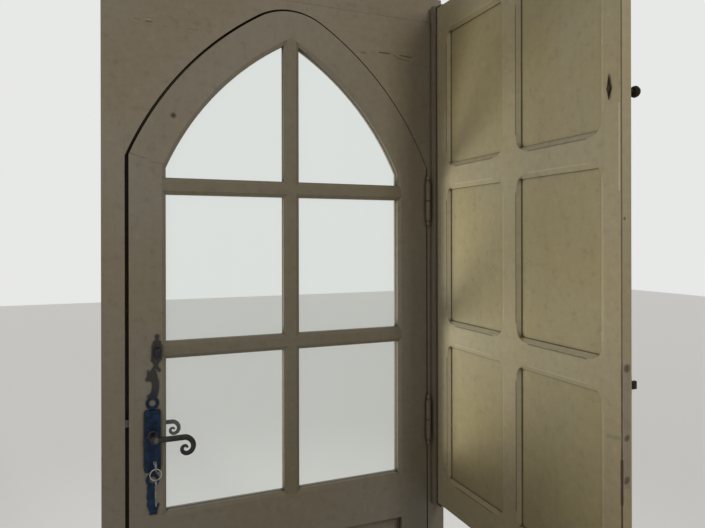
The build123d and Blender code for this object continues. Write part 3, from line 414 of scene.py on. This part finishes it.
# The bars carry the leaf's paint made darker, which is painted shade.
bar_shaded_body = shade(109, 102, 86)
bar_shaded_warm = shade(108, 99, 78)
bar_shaded_cool = shade(110, 104, 91)
bar_upright = old_paint("bar_paint_upright", bar_shaded_body, bar_shaded_warm, bar_shaded_cool, "z")
bar_level = old_paint("bar_paint_level", bar_shaded_body, bar_shaded_warm, bar_shaded_cool, "x")
dress(
    leaf_upright, "lock_stile", "hinge_stile", "leaf_muntin", "leaf_panel_left", "leaf_panel_right"
)
dress(leaf_arched, "arch_rail_left", "arch_rail_right")
dress(leaf_level, "mid_rail", "bottom_rail")
dress(bar_upright, "mullion")
dress(bar_level, "transom_lower", "transom_upper")


# Panes: clear window glass behind the moulded bars. Light goes through almost
# whole, and the surface shows only at a slant.
glass = Finish("window_glass")
clear = glass.node("BsdfTransparent", {}, {"Color": (0.95, 0.965, 0.955, 1)})
glass.feed(Base_Color=(0.9, 0.93, 0.92, 1), Roughness=0.02)
slant = glass.node("LayerWeight", {}, {"Blend": 0.5}, "Facing")
mirror = 0.04 + slant * slant * slant * slant * slant * 0.9
smear = glass.cloud(6.0, 4.0, 0.6)
film = glass.node(
    "MixShader", {}, {0: mirror + smear * 0.02, 1: clear, 2: Wire(glass, glass.shader.outputs[0])}
)
glass.tree.links.new(film.socket, glass.tree.nodes["Material Output"].inputs[0])
sides = ("left", "right")
rows = ("head", "middle", "lower")
dress(glass.material, *[f"pane_{row}_{side}" for row in rows for side in sides])


# Glazing beads: splayed softwood strips, set in from outside and painted with
# the leaf.
dress(leaf_upright, "glazing_beads")


# Hinges: three lift-off pairs of iron, turned on the lathe with a ball at each
# end, their flats let into the edges of jamb and leaf. Painted with the door.
def skin(name, material, *forms):
    """One mesh over several forms. A form is a grid of points, its rows along it
    and its columns round it. The columns close, and the end rows are covered by
    a face each, or meet where the form is marked as a ring."""
    points = []
    faces = []
    start = 0
    for grid, is_ring in forms:
        rows, columns = grid.shape[:2]
        index = start + np.arange(rows * columns).reshape(rows, columns)
        below = index if is_ring else index[:-1]
        above = np.roll(index, -1, axis=0) if is_ring else index[1:]
        corners = (below, np.roll(below, -1, axis=1), np.roll(above, -1, axis=1), above)
        faces += np.stack(corners, axis=-1).reshape(-1, 4).tolist()
        if not is_ring:
            faces += [index[0][::-1].tolist(), index[-1].tolist()]
        points.append(grid.reshape(-1, 3))
        start += rows * columns
    mesh = bpy.data.meshes.new(name)
    mesh.from_pydata(np.concatenate(points).tolist(), [], faces)
    shell = bmesh.new()
    shell.from_mesh(mesh)
    bmesh.ops.recalc_face_normals(shell, faces=shell.faces)
    shell.to_mesh(mesh)
    shell.free()
    mesh.polygons.foreach_set("use_smooth", np.ones(len(mesh.polygons), bool))
    mesh.set_sharp_from_angle(angle=radians(42))
    mesh.materials.append(material)
    piece = bpy.data.objects.new(name, mesh)
    scene.collection.objects.link(piece)
    return piece


def turned(place, axis, stations, sides=36, step=0.0004):
    """A lathe form. The stations give distance along the axis and radius. Straight
    runs join them, and each corner is eased by averaging the points beside it."""
    along, radius = np.array(stations, float).T
    passed = np.concatenate([[0], np.cumsum(np.hypot(np.diff(along), np.diff(radius)))])
    walk = np.linspace(0, passed[-1], int(passed[-1] / step))
    weights = np.ones(3) / 3
    along, radius = (
        np.convolve(np.pad(np.interp(walk, passed, values), 1, mode="edge"), weights, "valid")
        for values in (along, radius)
    )
    axis = np.array(axis, float)
    aside = np.cross(axis, (0, 0, 1) if abs(axis[2]) < 0.9 else (1, 0, 0))
    upward = np.cross(axis, aside)
    angle = np.linspace(0, 2 * pi, sides, endpoint=False)[:, None]
    circle = np.cos(angle) * aside + np.sin(angle) * upward
    return np.array(place) + along[:, None, None] * axis + radius[:, None, None] * circle, False


def eased_block(low, high, ease, rows=25, columns=32):
    """A block with rounded edges: a small ball of points whose eight parts are
    pushed out to the corners, so that the gaps between them become the faces."""
    low, high = np.array(low, float), np.array(high, float)
    polar = np.linspace(0.002, pi - 0.002, rows)[:, None]
    round_it = np.linspace(0, 2 * pi, columns, endpoint=False) + pi / columns
    ball = np.stack(
        [
            np.sin(polar) * np.cos(round_it),
            np.sin(polar) * np.sin(round_it),
            np.cos(polar) + 0 * round_it,
        ],
        axis=-1,
    )
    core = (high - low) / 2 - ease
    push = 40
    return (low + high) / 2 + np.clip(ball * push, -1, 1) * core + ball * ease, False


axis_x, axis_y = (frame["joints"][0]["pos_m"][part] for part in (0, 1))
hinge_heights = (0.238, 0.939, 1.640)
barrel = 0.0075
barrel_length = 0.062
ball = 0.0065
finial_length = 0.021
half_gap = 0.0003
flat = 0.0017
flat_ease = 0.0003
plate_depth = 0.036
leaf_edge = axis_x - 0.002
jamb_edge = axis_x + 0.002


def barrel_profile(foot):
    """Stations from the joint of the two barrels to the tip of the finial."""
    top = barrel_length
    return (
        (foot, 0.001), (foot, barrel - 0.0026), (foot + 0.0010, barrel - 0.0012),
        (foot + 0.0022, barrel), (0.030, barrel),
        (0.0305, barrel - 0.0007), (0.0325, barrel - 0.0007), (0.033, barrel),
        (top - 0.006, barrel),
        (top - 0.0055, barrel - 0.001), (top - 0.0035, barrel - 0.001), (top - 0.003, barrel),
        (top - 0.0005, barrel), (top, barrel - 0.001), (top + 0.0005, 0.0046),
        (top + 0.003, 0.0036),
        (top + 0.0055, 0.0042), (top + 0.0075, 0.0059), (top + 0.0105, ball),
        (top + 0.0135, 0.0057),
        (top + 0.0155, 0.0040), (top + 0.0165, 0.0026), (top + 0.0195, 0.0019),
        (top + finial_length, 0.0006),
    )


hinge_paint = old_paint(
    "painted_iron", shade(112, 103, 86), shade(104, 94, 74), shade(118, 110, 94), "z"
)
frame_forms = []
leaf_forms = []
for height in hinge_heights:
    middle = (axis_x, axis_y, height)
    low, high = height - barrel_length, height + barrel_length
    below, above = height - half_gap, height + half_gap
    depth = face + plate_depth
    frame_forms += [
        turned(middle, (0, 0, -1), barrel_profile(half_gap)),
        eased_block((jamb_edge - flat, axis_y, low), (jamb_edge, face, below), flat_ease),
        eased_block((jamb_edge, face, low), (jamb_edge + flat, depth, below), flat_ease),
    ]
    leaf_forms += [
        turned(middle, (0, 0, 1), barrel_profile(half_gap)),
        eased_block((leaf_edge, axis_y, above), (leaf_edge + flat, face, high), flat_ease),
        eased_block((leaf_edge - flat, face, above), (leaf_edge, depth, high), flat_ease),
    ]
frame_hinges = skin("turned_hinges_of_frame", hinge_paint, *frame_forms)
leaf_hinges = skin("turned_hinges_of_leaf", hinge_paint, *leaf_forms)
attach(frame_hinges, "frame")
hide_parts("hinge_frame_halves")
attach(leaf_hinges, "leaf")
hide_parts("hinge_leaf_halves")


# Lock plate and box: wrought iron, cut out hot, filed and blackened. Their blue
# is a painted reflection of the sky, and higher up the plate turns grey-brown.
# The box lies over the plate, and a greyer plate covers the hole outside.
# Its blue colour is a painted reflection of the sky, which gives way to grey-brown between 1.09
# and 1.15 m.
sky_reflection_iron = forged(
    "oiled_iron", shade(22, 34, 54), shade(34, 54, 78), shade(48, 42, 38), 0.36, 130.0,
    (1.09, 1.15, shade(62, 60, 54)),
)
grey_iron = forged(
    "worn_iron", shade(46, 44, 46), shade(66, 62, 62), shade(56, 46, 38), 0.34, 130.0
)


def filed(name, node, ease, material):
    """A copy of a piece with its arrises filed round: the mesh is merged, its flat
    faces are joined again, and a bevel follows every sharp edge."""
    mesh = frame["nodes"][node].data.copy()
    mesh.name = name
    shell = bmesh.new()
    shell.from_mesh(mesh)
    bmesh.ops.remove_doubles(shell, verts=shell.verts, dist=0.00001)
    bmesh.ops.dissolve_limit(
        shell, angle_limit=radians(1.5), verts=shell.verts, edges=shell.edges,
        use_dissolve_boundaries=False,
    )
    bmesh.ops.recalc_face_normals(shell, faces=shell.faces)
    shell.to_mesh(mesh)
    shell.free()
    mesh.polygons.foreach_set("use_smooth", np.ones(len(mesh.polygons), bool))
    mesh.set_sharp_from_angle(angle=radians(30))
    mesh.materials.clear()
    mesh.materials.append(material)
    piece = bpy.data.objects.new(name, mesh)
    scene.collection.objects.link(piece)
    bevel = piece.modifiers.new("filed_arrises", "BEVEL")
    bevel.width = ease
    bevel.segments = 3
    bevel.limit_method = "ANGLE"
    bevel.angle_limit = radians(35)
    bevel.use_clamp_overlap = True
    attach(piece, "leaf")
    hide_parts(node)


filed("filed_lock_plate", "lock_plate", 0.0007, sky_reflection_iron)
filed("filed_lever_box", "lever_box", 0.0009, sky_reflection_iron)
filed("filed_outside_plate", "outside_plate", 0.0009, grey_iron)


# Levers: bar iron drawn out to a taper and rolled down into a scroll, then
# forged onto a round neck. The outer one is a size smaller.
def rim(squareness, sides):
    """A superellipse that reaches 1 each way: cosine and sine of the angle, each raised
    to 2 over the squareness with its sign kept. More squareness makes it boxier."""
    angle = np.linspace(0, 2 * pi, sides, endpoint=False)
    return [
        np.sign(part) * np.abs(part) ** (2 / squareness)
        for part in (np.cos(angle), np.sin(angle))
    ]


def carried(path, aside, half_aside, half_up, squareness=2.6, sides=32):
    """A section carried along a path. At each point of the path a superellipse stands
    square to its run, and reaches half_aside to each side and half_up each way up."""
    run = np.gradient(path, axis=0)
    run /= np.linalg.norm(run, axis=1)[:, None]
    aside = np.array(aside, float)
    upward = np.cross(run, aside)
    wide, high = rim(squareness, sides)
    return (
        path[:, None]
        + (half_aside[:, None] * wide)[..., None] * aside
        + (half_up[:, None] * high)[..., None] * upward[:, None]
    ), False


spindle = np.array(frame["joints"][1]["pos_m"])
bar_height = 0.015
bar_depth = 0.010
shank_length = 0.079
scroll_radius = 0.029
quarter_shrink = 0.68
scroll_angle = radians(450)
tip_height = 0.006


def scroll_grip(middle, share):
    """The bar's middle line runs level from the neck, then winds inward: its radius
    shrinks by the same factor each quarter turn, while the bar thins to its tip."""
    level_points = 30
    wound_points = 150
    level = np.linspace(0, 1, level_points, endpoint=False)[:, None] * (shank_length, 0, 0)
    turn = np.linspace(0, scroll_angle, wound_points)
    radius = scroll_radius * quarter_shrink ** (turn / (pi / 2))
    wound = np.stack(
        [
            shank_length + radius * np.sin(turn),
            0 * turn,
            radius * np.cos(turn) - scroll_radius,
        ],
        axis=-1,
    )
    path = np.concatenate([level, wound])
    done = np.clip(np.linspace(-level_points / wound_points, 1, len(path)), 0, 1)
    tip = np.sqrt(np.clip(1 - np.clip((done - 0.965) / 0.035, 0, 1) ** 2, 0.02, 1))
    half_up = (bar_height + (tip_height - bar_height) * done) / 2 * tip
    half_aside = (bar_depth * (1 - 0.3 * done)) / 2 * tip
    return carried(middle + path * share, (0, 1, 0), half_aside, half_up * share)


def lever_neck(face_y, bar_y, away):
    """The round parts on the spindle, from the plate's face to the far side of the bar."""
    reach = abs(bar_y - face_y)
    back = reach - bar_depth / 2
    stations = (
        (0.0005, 0.002), (0.0005, 0.0132), (0.0015, 0.0140), (0.0035, 0.0140), (0.0050, 0.0125),
        (0.0060, 0.0098), (0.0100, 0.0086), (back * 0.6, 0.0080), (back - 0.004, 0.0090),
        (back - 0.001, 0.0103), (back + 0.002, 0.0105), (back + bar_depth - 0.002, 0.0105),
        (back + bar_depth - 0.0004, 0.0085), (back + bar_depth, 0.004), (back + bar_depth, 0.0004),
    )
    return turned((spindle[0], face_y, spindle[2]), (0, away, 0), stations)


plate_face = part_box("lever_box")[0][1]
outside_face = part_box("outside_plate")[1][1]
outer_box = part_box("lever_outside")
inner_middle = spindle.copy()
outer_middle = np.array((spindle[0], outer_box[1][1] - bar_depth / 2, spindle[2]))
square_bar = 0.004
inner_lever = skin(
    "scroll_lever_inside", grey_iron,
    scroll_grip(inner_middle, 1.0),
    lever_neck(plate_face, inner_middle[1], -1),
    eased_block(
        (spindle[0] - square_bar, plate_face - 0.0005, spindle[2] - square_bar),
        (spindle[0] + square_bar, outside_face + 0.0005, spindle[2] + square_bar), 0.0004,
    ),
)
outer_lever = skin(
    "scroll_lever_outside", grey_iron,
    scroll_grip(outer_middle, 0.8), lever_neck(outside_face, outer_middle[1], 1),
)
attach(inner_lever, "lever")
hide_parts("lever_inside")
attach(outer_lever, "lever")
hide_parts("lever_outside")


# Thumb turn: a small iron block on a round collar, filed smooth where fingers
# hold it. Its stem goes into the stile and throws the night bolt. The solid's stem
# ends on the bottom of its hole, and this one stops just short of that.
places = {joint["name"]: np.array(joint.get("pos_m", (0, 0, 0))) for joint in frame["joints"]}
turn_axis = places["night_turn"]
turn_low, turn_high = (np.array(corner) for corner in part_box("thumb_turn"))
grip_depth = 0.016
grip_half_width = 0.007
grip_half_height = 0.0125
collar_front = turn_low[1] + grip_depth
turn_stem = 0.0036
stem_gap = 0.001
turn_reach = turn_high[1] - stem_gap - collar_front
turn_piece = skin(
    "filed_thumb_turn", grey_iron,
    eased_block(
        (turn_axis[0] - grip_half_width, turn_low[1], turn_axis[2] - grip_half_height),
        (turn_axis[0] + grip_half_width, collar_front + 0.0004, turn_axis[2] + grip_half_height),
        0.0024,
    ),
    turned(
        (turn_axis[0], collar_front, turn_axis[2]), (0, 1, 0),
        (
            (0, 0.001), (0, 0.0074), (0.001, 0.0080), (0.0050, 0.0080), (0.0060, 0.0074),
            (0.0060, turn_stem), (turn_reach, turn_stem), (turn_reach, 0.001),
        ),
    ),
)
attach(turn_piece, "turn")
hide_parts("thumb_turn")


# Keys: one in the lock, its bow upright, with a wire ring through the bow and
# a second key hung on the ring. Steel, kept bright in the pocket.
bright_steel = forged(
    "bright_steel", shade(112, 110, 105), shade(146, 143, 137), shade(92, 82, 68), 0.36, 90.0
)


def ring_rod(middle, aside, radius, rod, squareness=2.0, steps=72, sides=20):
    """A rod bent to a circle: its middle line is a circle square to aside."""
    turn = np.linspace(0, 2 * pi, steps, endpoint=False)[:, None]
    aside = np.array(aside, float)
    level = np.cross(aside, (0, 0, 1))
    outward = np.cos(turn) * level + np.sin(turn) * np.array((0, 0, 1.0))
    wide, high = rim(squareness, sides)
    section = rod * (wide[:, None] * aside + high[:, None] * outward[:, None])
    return np.array(middle) + radius * outward[:, None] + section, True


key_place = places["key_turn"]
key_bow = 0.0115
key_rod = 0.0021
shank = 0.0029
shank_end = 0.0538
bit_half = 0.0012
bit_front = 0.0572
bit_back = 0.0668
bit_foot = -0.0118
bit_ease = 0.0004
key_stations = (
    (0, 0.001), (0, shank), (0.0015, 0.0040), (0.0030, shank), (0.0045, 0.0036), (0.0060, shank),
    (0.0115, shank), (0.0120, 0.0045), (0.0148, 0.0045), (0.0153, shank),
    (shank_end, shank), (shank_end, 0.001),
)
key_piece = skin(
    "door_key", bright_steel,
    ring_rod(key_place, (1, 0, 0), key_bow, key_rod, 2.6),
    turned(key_place + (0, key_bow + 0.0012, 0), (0, 1, 0), key_stations, 28),
    eased_block(
        key_place + (-bit_half, bit_front, bit_foot), key_place + (bit_half, bit_back, -0.001),
        bit_ease,
    ),
)
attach(key_piece, "key")
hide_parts("key")

wire_radius = 0.0145
wire_rod = 0.0011
wire_middle = key_place + (0, 0, 0.0036 - key_bow - wire_radius)
wire_piece = skin(
    "wire_ring", bright_steel, ring_rod(wire_middle, (0, 1, 0), wire_radius, wire_rod)
)
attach(wire_piece, "key_ring")
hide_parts("key_ring")

spare_low, spare_high = (np.array(corner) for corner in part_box("spare_key"))
spare_bow = 0.009
spare_rod = 0.0018
spare_top = spare_high[2] - 0.0001
spare_middle = np.array((key_place[0], key_place[1], spare_top - spare_bow - spare_rod))
spare_foot = spare_low[2]
spare_reach = spare_middle[2] - spare_bow - spare_foot
spare_piece = skin(
    "spare_key_hung", bright_steel,
    ring_rod(spare_middle, (1, 0, 0), spare_bow, spare_rod, 2.4),
    turned(
        (key_place[0], key_place[1], spare_foot), (0, 0, 1),
        (
            (0, 0.0004), (0.0006, 0.0017), (spare_reach - 0.008, 0.0018),
            (spare_reach - 0.0065, 0.0026), (spare_reach - 0.0045, 0.0018),
            (spare_reach - 0.0030, 0.0025), (spare_reach, 0.0018), (spare_reach, 0.0005),
        ),
        24,
    ),
    eased_block(
        (key_place[0] - bit_half, spare_low[1], spare_foot + 0.0019),
        (key_place[0] + bit_half, key_place[1], spare_foot + 0.0109), bit_ease,
    ),
)
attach(spare_piece, "key_ring")
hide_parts("spare_key")


# Mortise lock: a steel case in the stile, its follower on the spindle, the
# latch and the round night bolt. The steel is bare and dull.
dress(dull_steel, "latch_case", "lever_follower", "latch_bolt", "night_bolt")


# Shutter: stiles, rails and muntins with stopped chamfers round six thin
# panels, in a cream coat that daylight has yellowed. The free edge carries rust
# from the ironmongery and a painted shadow line along its arris. At each panel
# two chamfer rims carry a painted shadow and two a painted highlight.
free_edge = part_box("shutter_stile_free")[0][1]
shutter_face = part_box("shutter_stile_free")[0][0]
shutter_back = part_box("shutter_stile_free")[1][0]
edge_middle = (shutter_face + shutter_back) / 2
shutter_body = shade(156, 145, 119)
shutter_warm = shade(156, 142, 110)
shutter_cool = shade(154, 146, 123)
# The panels are painted a little darker than the framing, partly their own tone and partly painted
# shade of their recess.
panel_body = shade(150, 138, 108)
panel_warm = shade(152, 139, 102)
panel_cool = shade(150, 141, 115)
rust = shade(78, 60, 40)
shadow_line = shade(64, 56, 40)
scuff = shade(196, 186, 158)
rust_dot = 0.001
rust_marks = tuple(
    (
        (edge_middle, free_edge, height), (edge_middle, free_edge, height + rust_dot),
        width, 0.012, rust, 0.8, 0.6,
    )
    for height, width in ((1.249, 0.011), (1.104, 0.010), (1.017, 0.011))
)
arris = (shutter_face, free_edge)
near_arris = (shutter_face, free_edge + 0.006)
on_edge = (shutter_face + 0.008, free_edge)
verdigris = shade(112, 118, 98)
stile_marks = (
    ((*arris, 0.70), (*arris, 2.24), 0.0026, 0.001, shadow_line, 0.75, 0.3),
    ((*arris, 0.97), (*arris, 1.058), 0.0060, 0.003, shade(58, 42, 28), 0.9, 0.5),
    ((*arris, 0.80), (*arris, 0.97), 0.0040, 0.003, shade(66, 46, 32), 0.8, 0.5),
    ((*arris, 1.06), (*arris, 1.26), 0.0032, 0.004, rust, 0.6, 0.4),
    ((*near_arris, 1.62), (*near_arris, 1.80), 0.0024, 0.002, scuff, 0.6, 0.0),
    ((*on_edge, 1.560), (*on_edge, 1.561), 0.004, 0.002, crack, 0.8, 0.4),
    ((shutter_face, -0.488, 1.205), (shutter_face, -0.492, 1.245), 0.0022, 0.006, scuff, 0.5, 0.3),
    (
        (shutter_face, -0.775, 1.10), (shutter_face, -0.812, 1.106),
        0.0060, 0.012, verdigris, 0.5, 0.0,
    ),
)
chamfer = 0.0125
chamfer_stop = 0.036
opening_sides = ((-0.143, -0.404), (-0.482, -0.752))
opening_heights = ((0.778, 1.1853), (1.2653, 1.6727), (1.7527, 2.160))
# Rim lines: the dark ones are painted shadow, the pale ones a painted highlight.
highlight_rim = shade(186, 177, 148)
shadow_rim = (0.0026, 0.002, shadow_line)
paler_edge = (0.0022, 0.003, highlight_rim)


def on_face(across, height):
    """A place on the shutter's face."""
    return shutter_face, across, height


rim_marks = ()
level_marks = ()
for low, high in opening_heights:
    foot, top = low + chamfer_stop, high - chamfer_stop
    foot_rim, top_rim = low - chamfer, high + chamfer
    for near, far in opening_sides:
        near_rim, far_rim = near + chamfer, far - chamfer
        start, end = near - chamfer_stop, far + chamfer_stop
        rim_marks += (
            (on_face(near_rim, foot), on_face(near_rim, top), *shadow_rim, 0.6, 0.3),
            (on_face(far_rim, foot), on_face(far_rim, top), *paler_edge, 0.4, 0.1),
        )
        level_marks += (
            (on_face(start, foot_rim), on_face(end, foot_rim), *shadow_rim, 0.55, 0.3),
            (on_face(start, top_rim), on_face(end, top_rim), *paler_edge, 0.4, 0.1),
        )
shutter_upright = old_paint(
    "shutter_paint_upright", shutter_body, shutter_warm, shutter_cool, "z",
    stile_marks + rust_marks + rim_marks,
)
shutter_level = old_paint(
    "shutter_paint_level", shutter_body, shutter_warm, shutter_cool, "y", level_marks
)
panel_paint = old_paint("shutter_paint_panels", panel_body, panel_warm, panel_cool, "z")
dress(shutter_upright, "shutter_stile_hanging", "shutter_stile_free", "shutter_muntins")
dress(
    shutter_level,
    "shutter_rail_bottom", "shutter_rail_lower", "shutter_rail_upper", "shutter_rail_top",
)
dress(panel_paint, "shutter_panels_lower", "shutter_panels_middle", "shutter_panels_upper")


# Turn knob, catch, sliding bolt and edge plate of the shutter: small iron
# fittings gone brown with rust, the edge plate painted. The knob's tip stands 25 mm
# past the box of the solids, whose knob is too short to show past the free edge.
rusty_iron = forged(
    "rusty_iron", shade(30, 27, 22), shade(48, 41, 32), shade(78, 56, 34), 0.5, 220.0
)
dress(rusty_iron, "turn_rose", "bolt_plate", "shutter_bolt")
edge_steel = old_paint(
    "painted_edge_plate", shade(140, 131, 110), shade(136, 124, 98), shade(142, 135, 117), "z",
    rust_marks,
)
dress(edge_steel, "edge_plate")

knob_axis = places["shutter_knob_turn"]
knob_low, knob_high = (np.array(corner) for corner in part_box("turn_knob"))
knob_radius = (knob_high[2] - knob_low[2]) / 2
stem_radius = 0.005
knob_tip = 0.560
knob_length = knob_tip - knob_low[0]
knob_start = knob_length - 0.019
knob_piece = skin(
    "turned_knob", rusty_iron,
    turned(
        (knob_low[0], knob_axis[1], knob_axis[2]), (1, 0, 0),
        (
            (0, 0.0005), (0, stem_radius - 0.0006), (0.0006, stem_radius),
            (knob_start, stem_radius),
            (knob_start + 0.001, 0.0085), (knob_start + 0.004, knob_radius - 0.0014),
            (knob_start + 0.009, knob_radius), (knob_length - 0.005, knob_radius - 0.0022),
            (knob_length - 0.0015, 0.0070), (knob_length, 0.0030), (knob_length, 0.0003),
        ),
    ),
)
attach(knob_piece, "shutter_turn")
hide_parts("turn_knob")

# The catch is a thin leaf. Its width and thickness follow a sine that rises from
# each tip to the pivot, and a bell curve widens it there into a boss.
catch_low, catch_high = (np.array(corner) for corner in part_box("turn_catch"))
catch_foot = catch_low[2] - 0.010
catch_rows = 80
catch_run = np.linspace(0, 1, catch_rows)
catch_line = np.stack(
    [
        np.full(catch_rows, (catch_low[0] + catch_high[0]) / 2),
        np.full(catch_rows, knob_axis[1]),
        catch_foot + (catch_high[2] - catch_foot) * catch_run,
    ],
    axis=-1,
)
pivot_share = (knob_axis[2] - catch_foot) / (catch_high[2] - catch_foot)
swell = np.sin(np.interp(catch_run, (0, pivot_share, 1), (0, 1, 0)) * pi / 2)
boss = np.exp(-(((catch_run - pivot_share) / 0.10) ** 2))
catch_half = 0.0004 + 0.0024 * swell + 0.0026 * boss
catch_thick = np.clip(0.0003 + 0.0018 * swell, 0, 0.002)
catch_piece = skin(
    "filed_catch", rusty_iron,
    carried(catch_line, (1, 0, 0), catch_thick, catch_half, 2.0, 28),
)
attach(catch_piece, "shutter_turn")
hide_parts("turn_catch")


# Floor and air round the door: a pale floor at the sill's foot, and air that is
# pale where it is seen or mirrored and dimmer where it lights the door.
ground = Finish("floor")
ground.feed(Base_Color=(0.72, 0.71, 0.69, 1), Roughness=0.75)
pale_ground = ground.node(
    "BsdfPrincipled",
    {},
    {
        "Base Color": (0.86, 0.85, 0.83, 1), "Roughness": 0.75,
        "Emission Color": (0.98, 0.97, 0.94, 1), "Emission Strength": 0.28,
    },
)


def plainly_seen(nodes):
    """1 for rays from the eye, straight, mirrored or through glass."""
    camera_ray, glossy_ray, through_ray = (
        nodes.node("LightPath", {}, {}, ray)
        for ray in ("Is Camera Ray", "Is Glossy Ray", "Is Transmission Ray")
    )
    return camera_ray.most(glossy_ray).most(through_ray)


both_grounds = ground.node(
    "MixShader", {},
    {0: plainly_seen(ground), 1: Wire(ground, ground.shader.outputs[0]), 2: pale_ground},
)
ground.tree.links.new(both_grounds.socket, ground.tree.nodes["Material Output"].inputs[0])
floor_half = 14.0
floor_mesh = bpy.data.meshes.new("floor")
floor_mesh.from_pydata(
    [
        (-floor_half, -floor_half, 0), (floor_half, -floor_half, 0),
        (floor_half, floor_half, 0), (-floor_half, floor_half, 0),
    ],
    [], [(0, 1, 2, 3)],
)
floor_mesh.materials.append(ground.material)
floor = bpy.data.objects.new("floor", floor_mesh)
scene.collection.objects.link(floor)

air = bpy.data.worlds.new("air")
air.use_nodes = True
scene.world = air
sky = Nodes(air.node_tree)
seen_air = Wire(sky, sky.tree.nodes["Background"].outputs[0])
sky.tree.nodes["Background"].inputs[0].default_value = (0.80, 0.81, 0.80, 1)
dim_air = sky.node("Background", {}, {"Color": (1.0, 0.985, 0.95, 1), "Strength": 0.27})
both_airs = sky.node("MixShader", {}, {0: plainly_seen(sky), 1: dim_air, 2: seen_air})
sky.tree.links.new(both_airs.socket, sky.tree.nodes["World Output"].inputs[0])
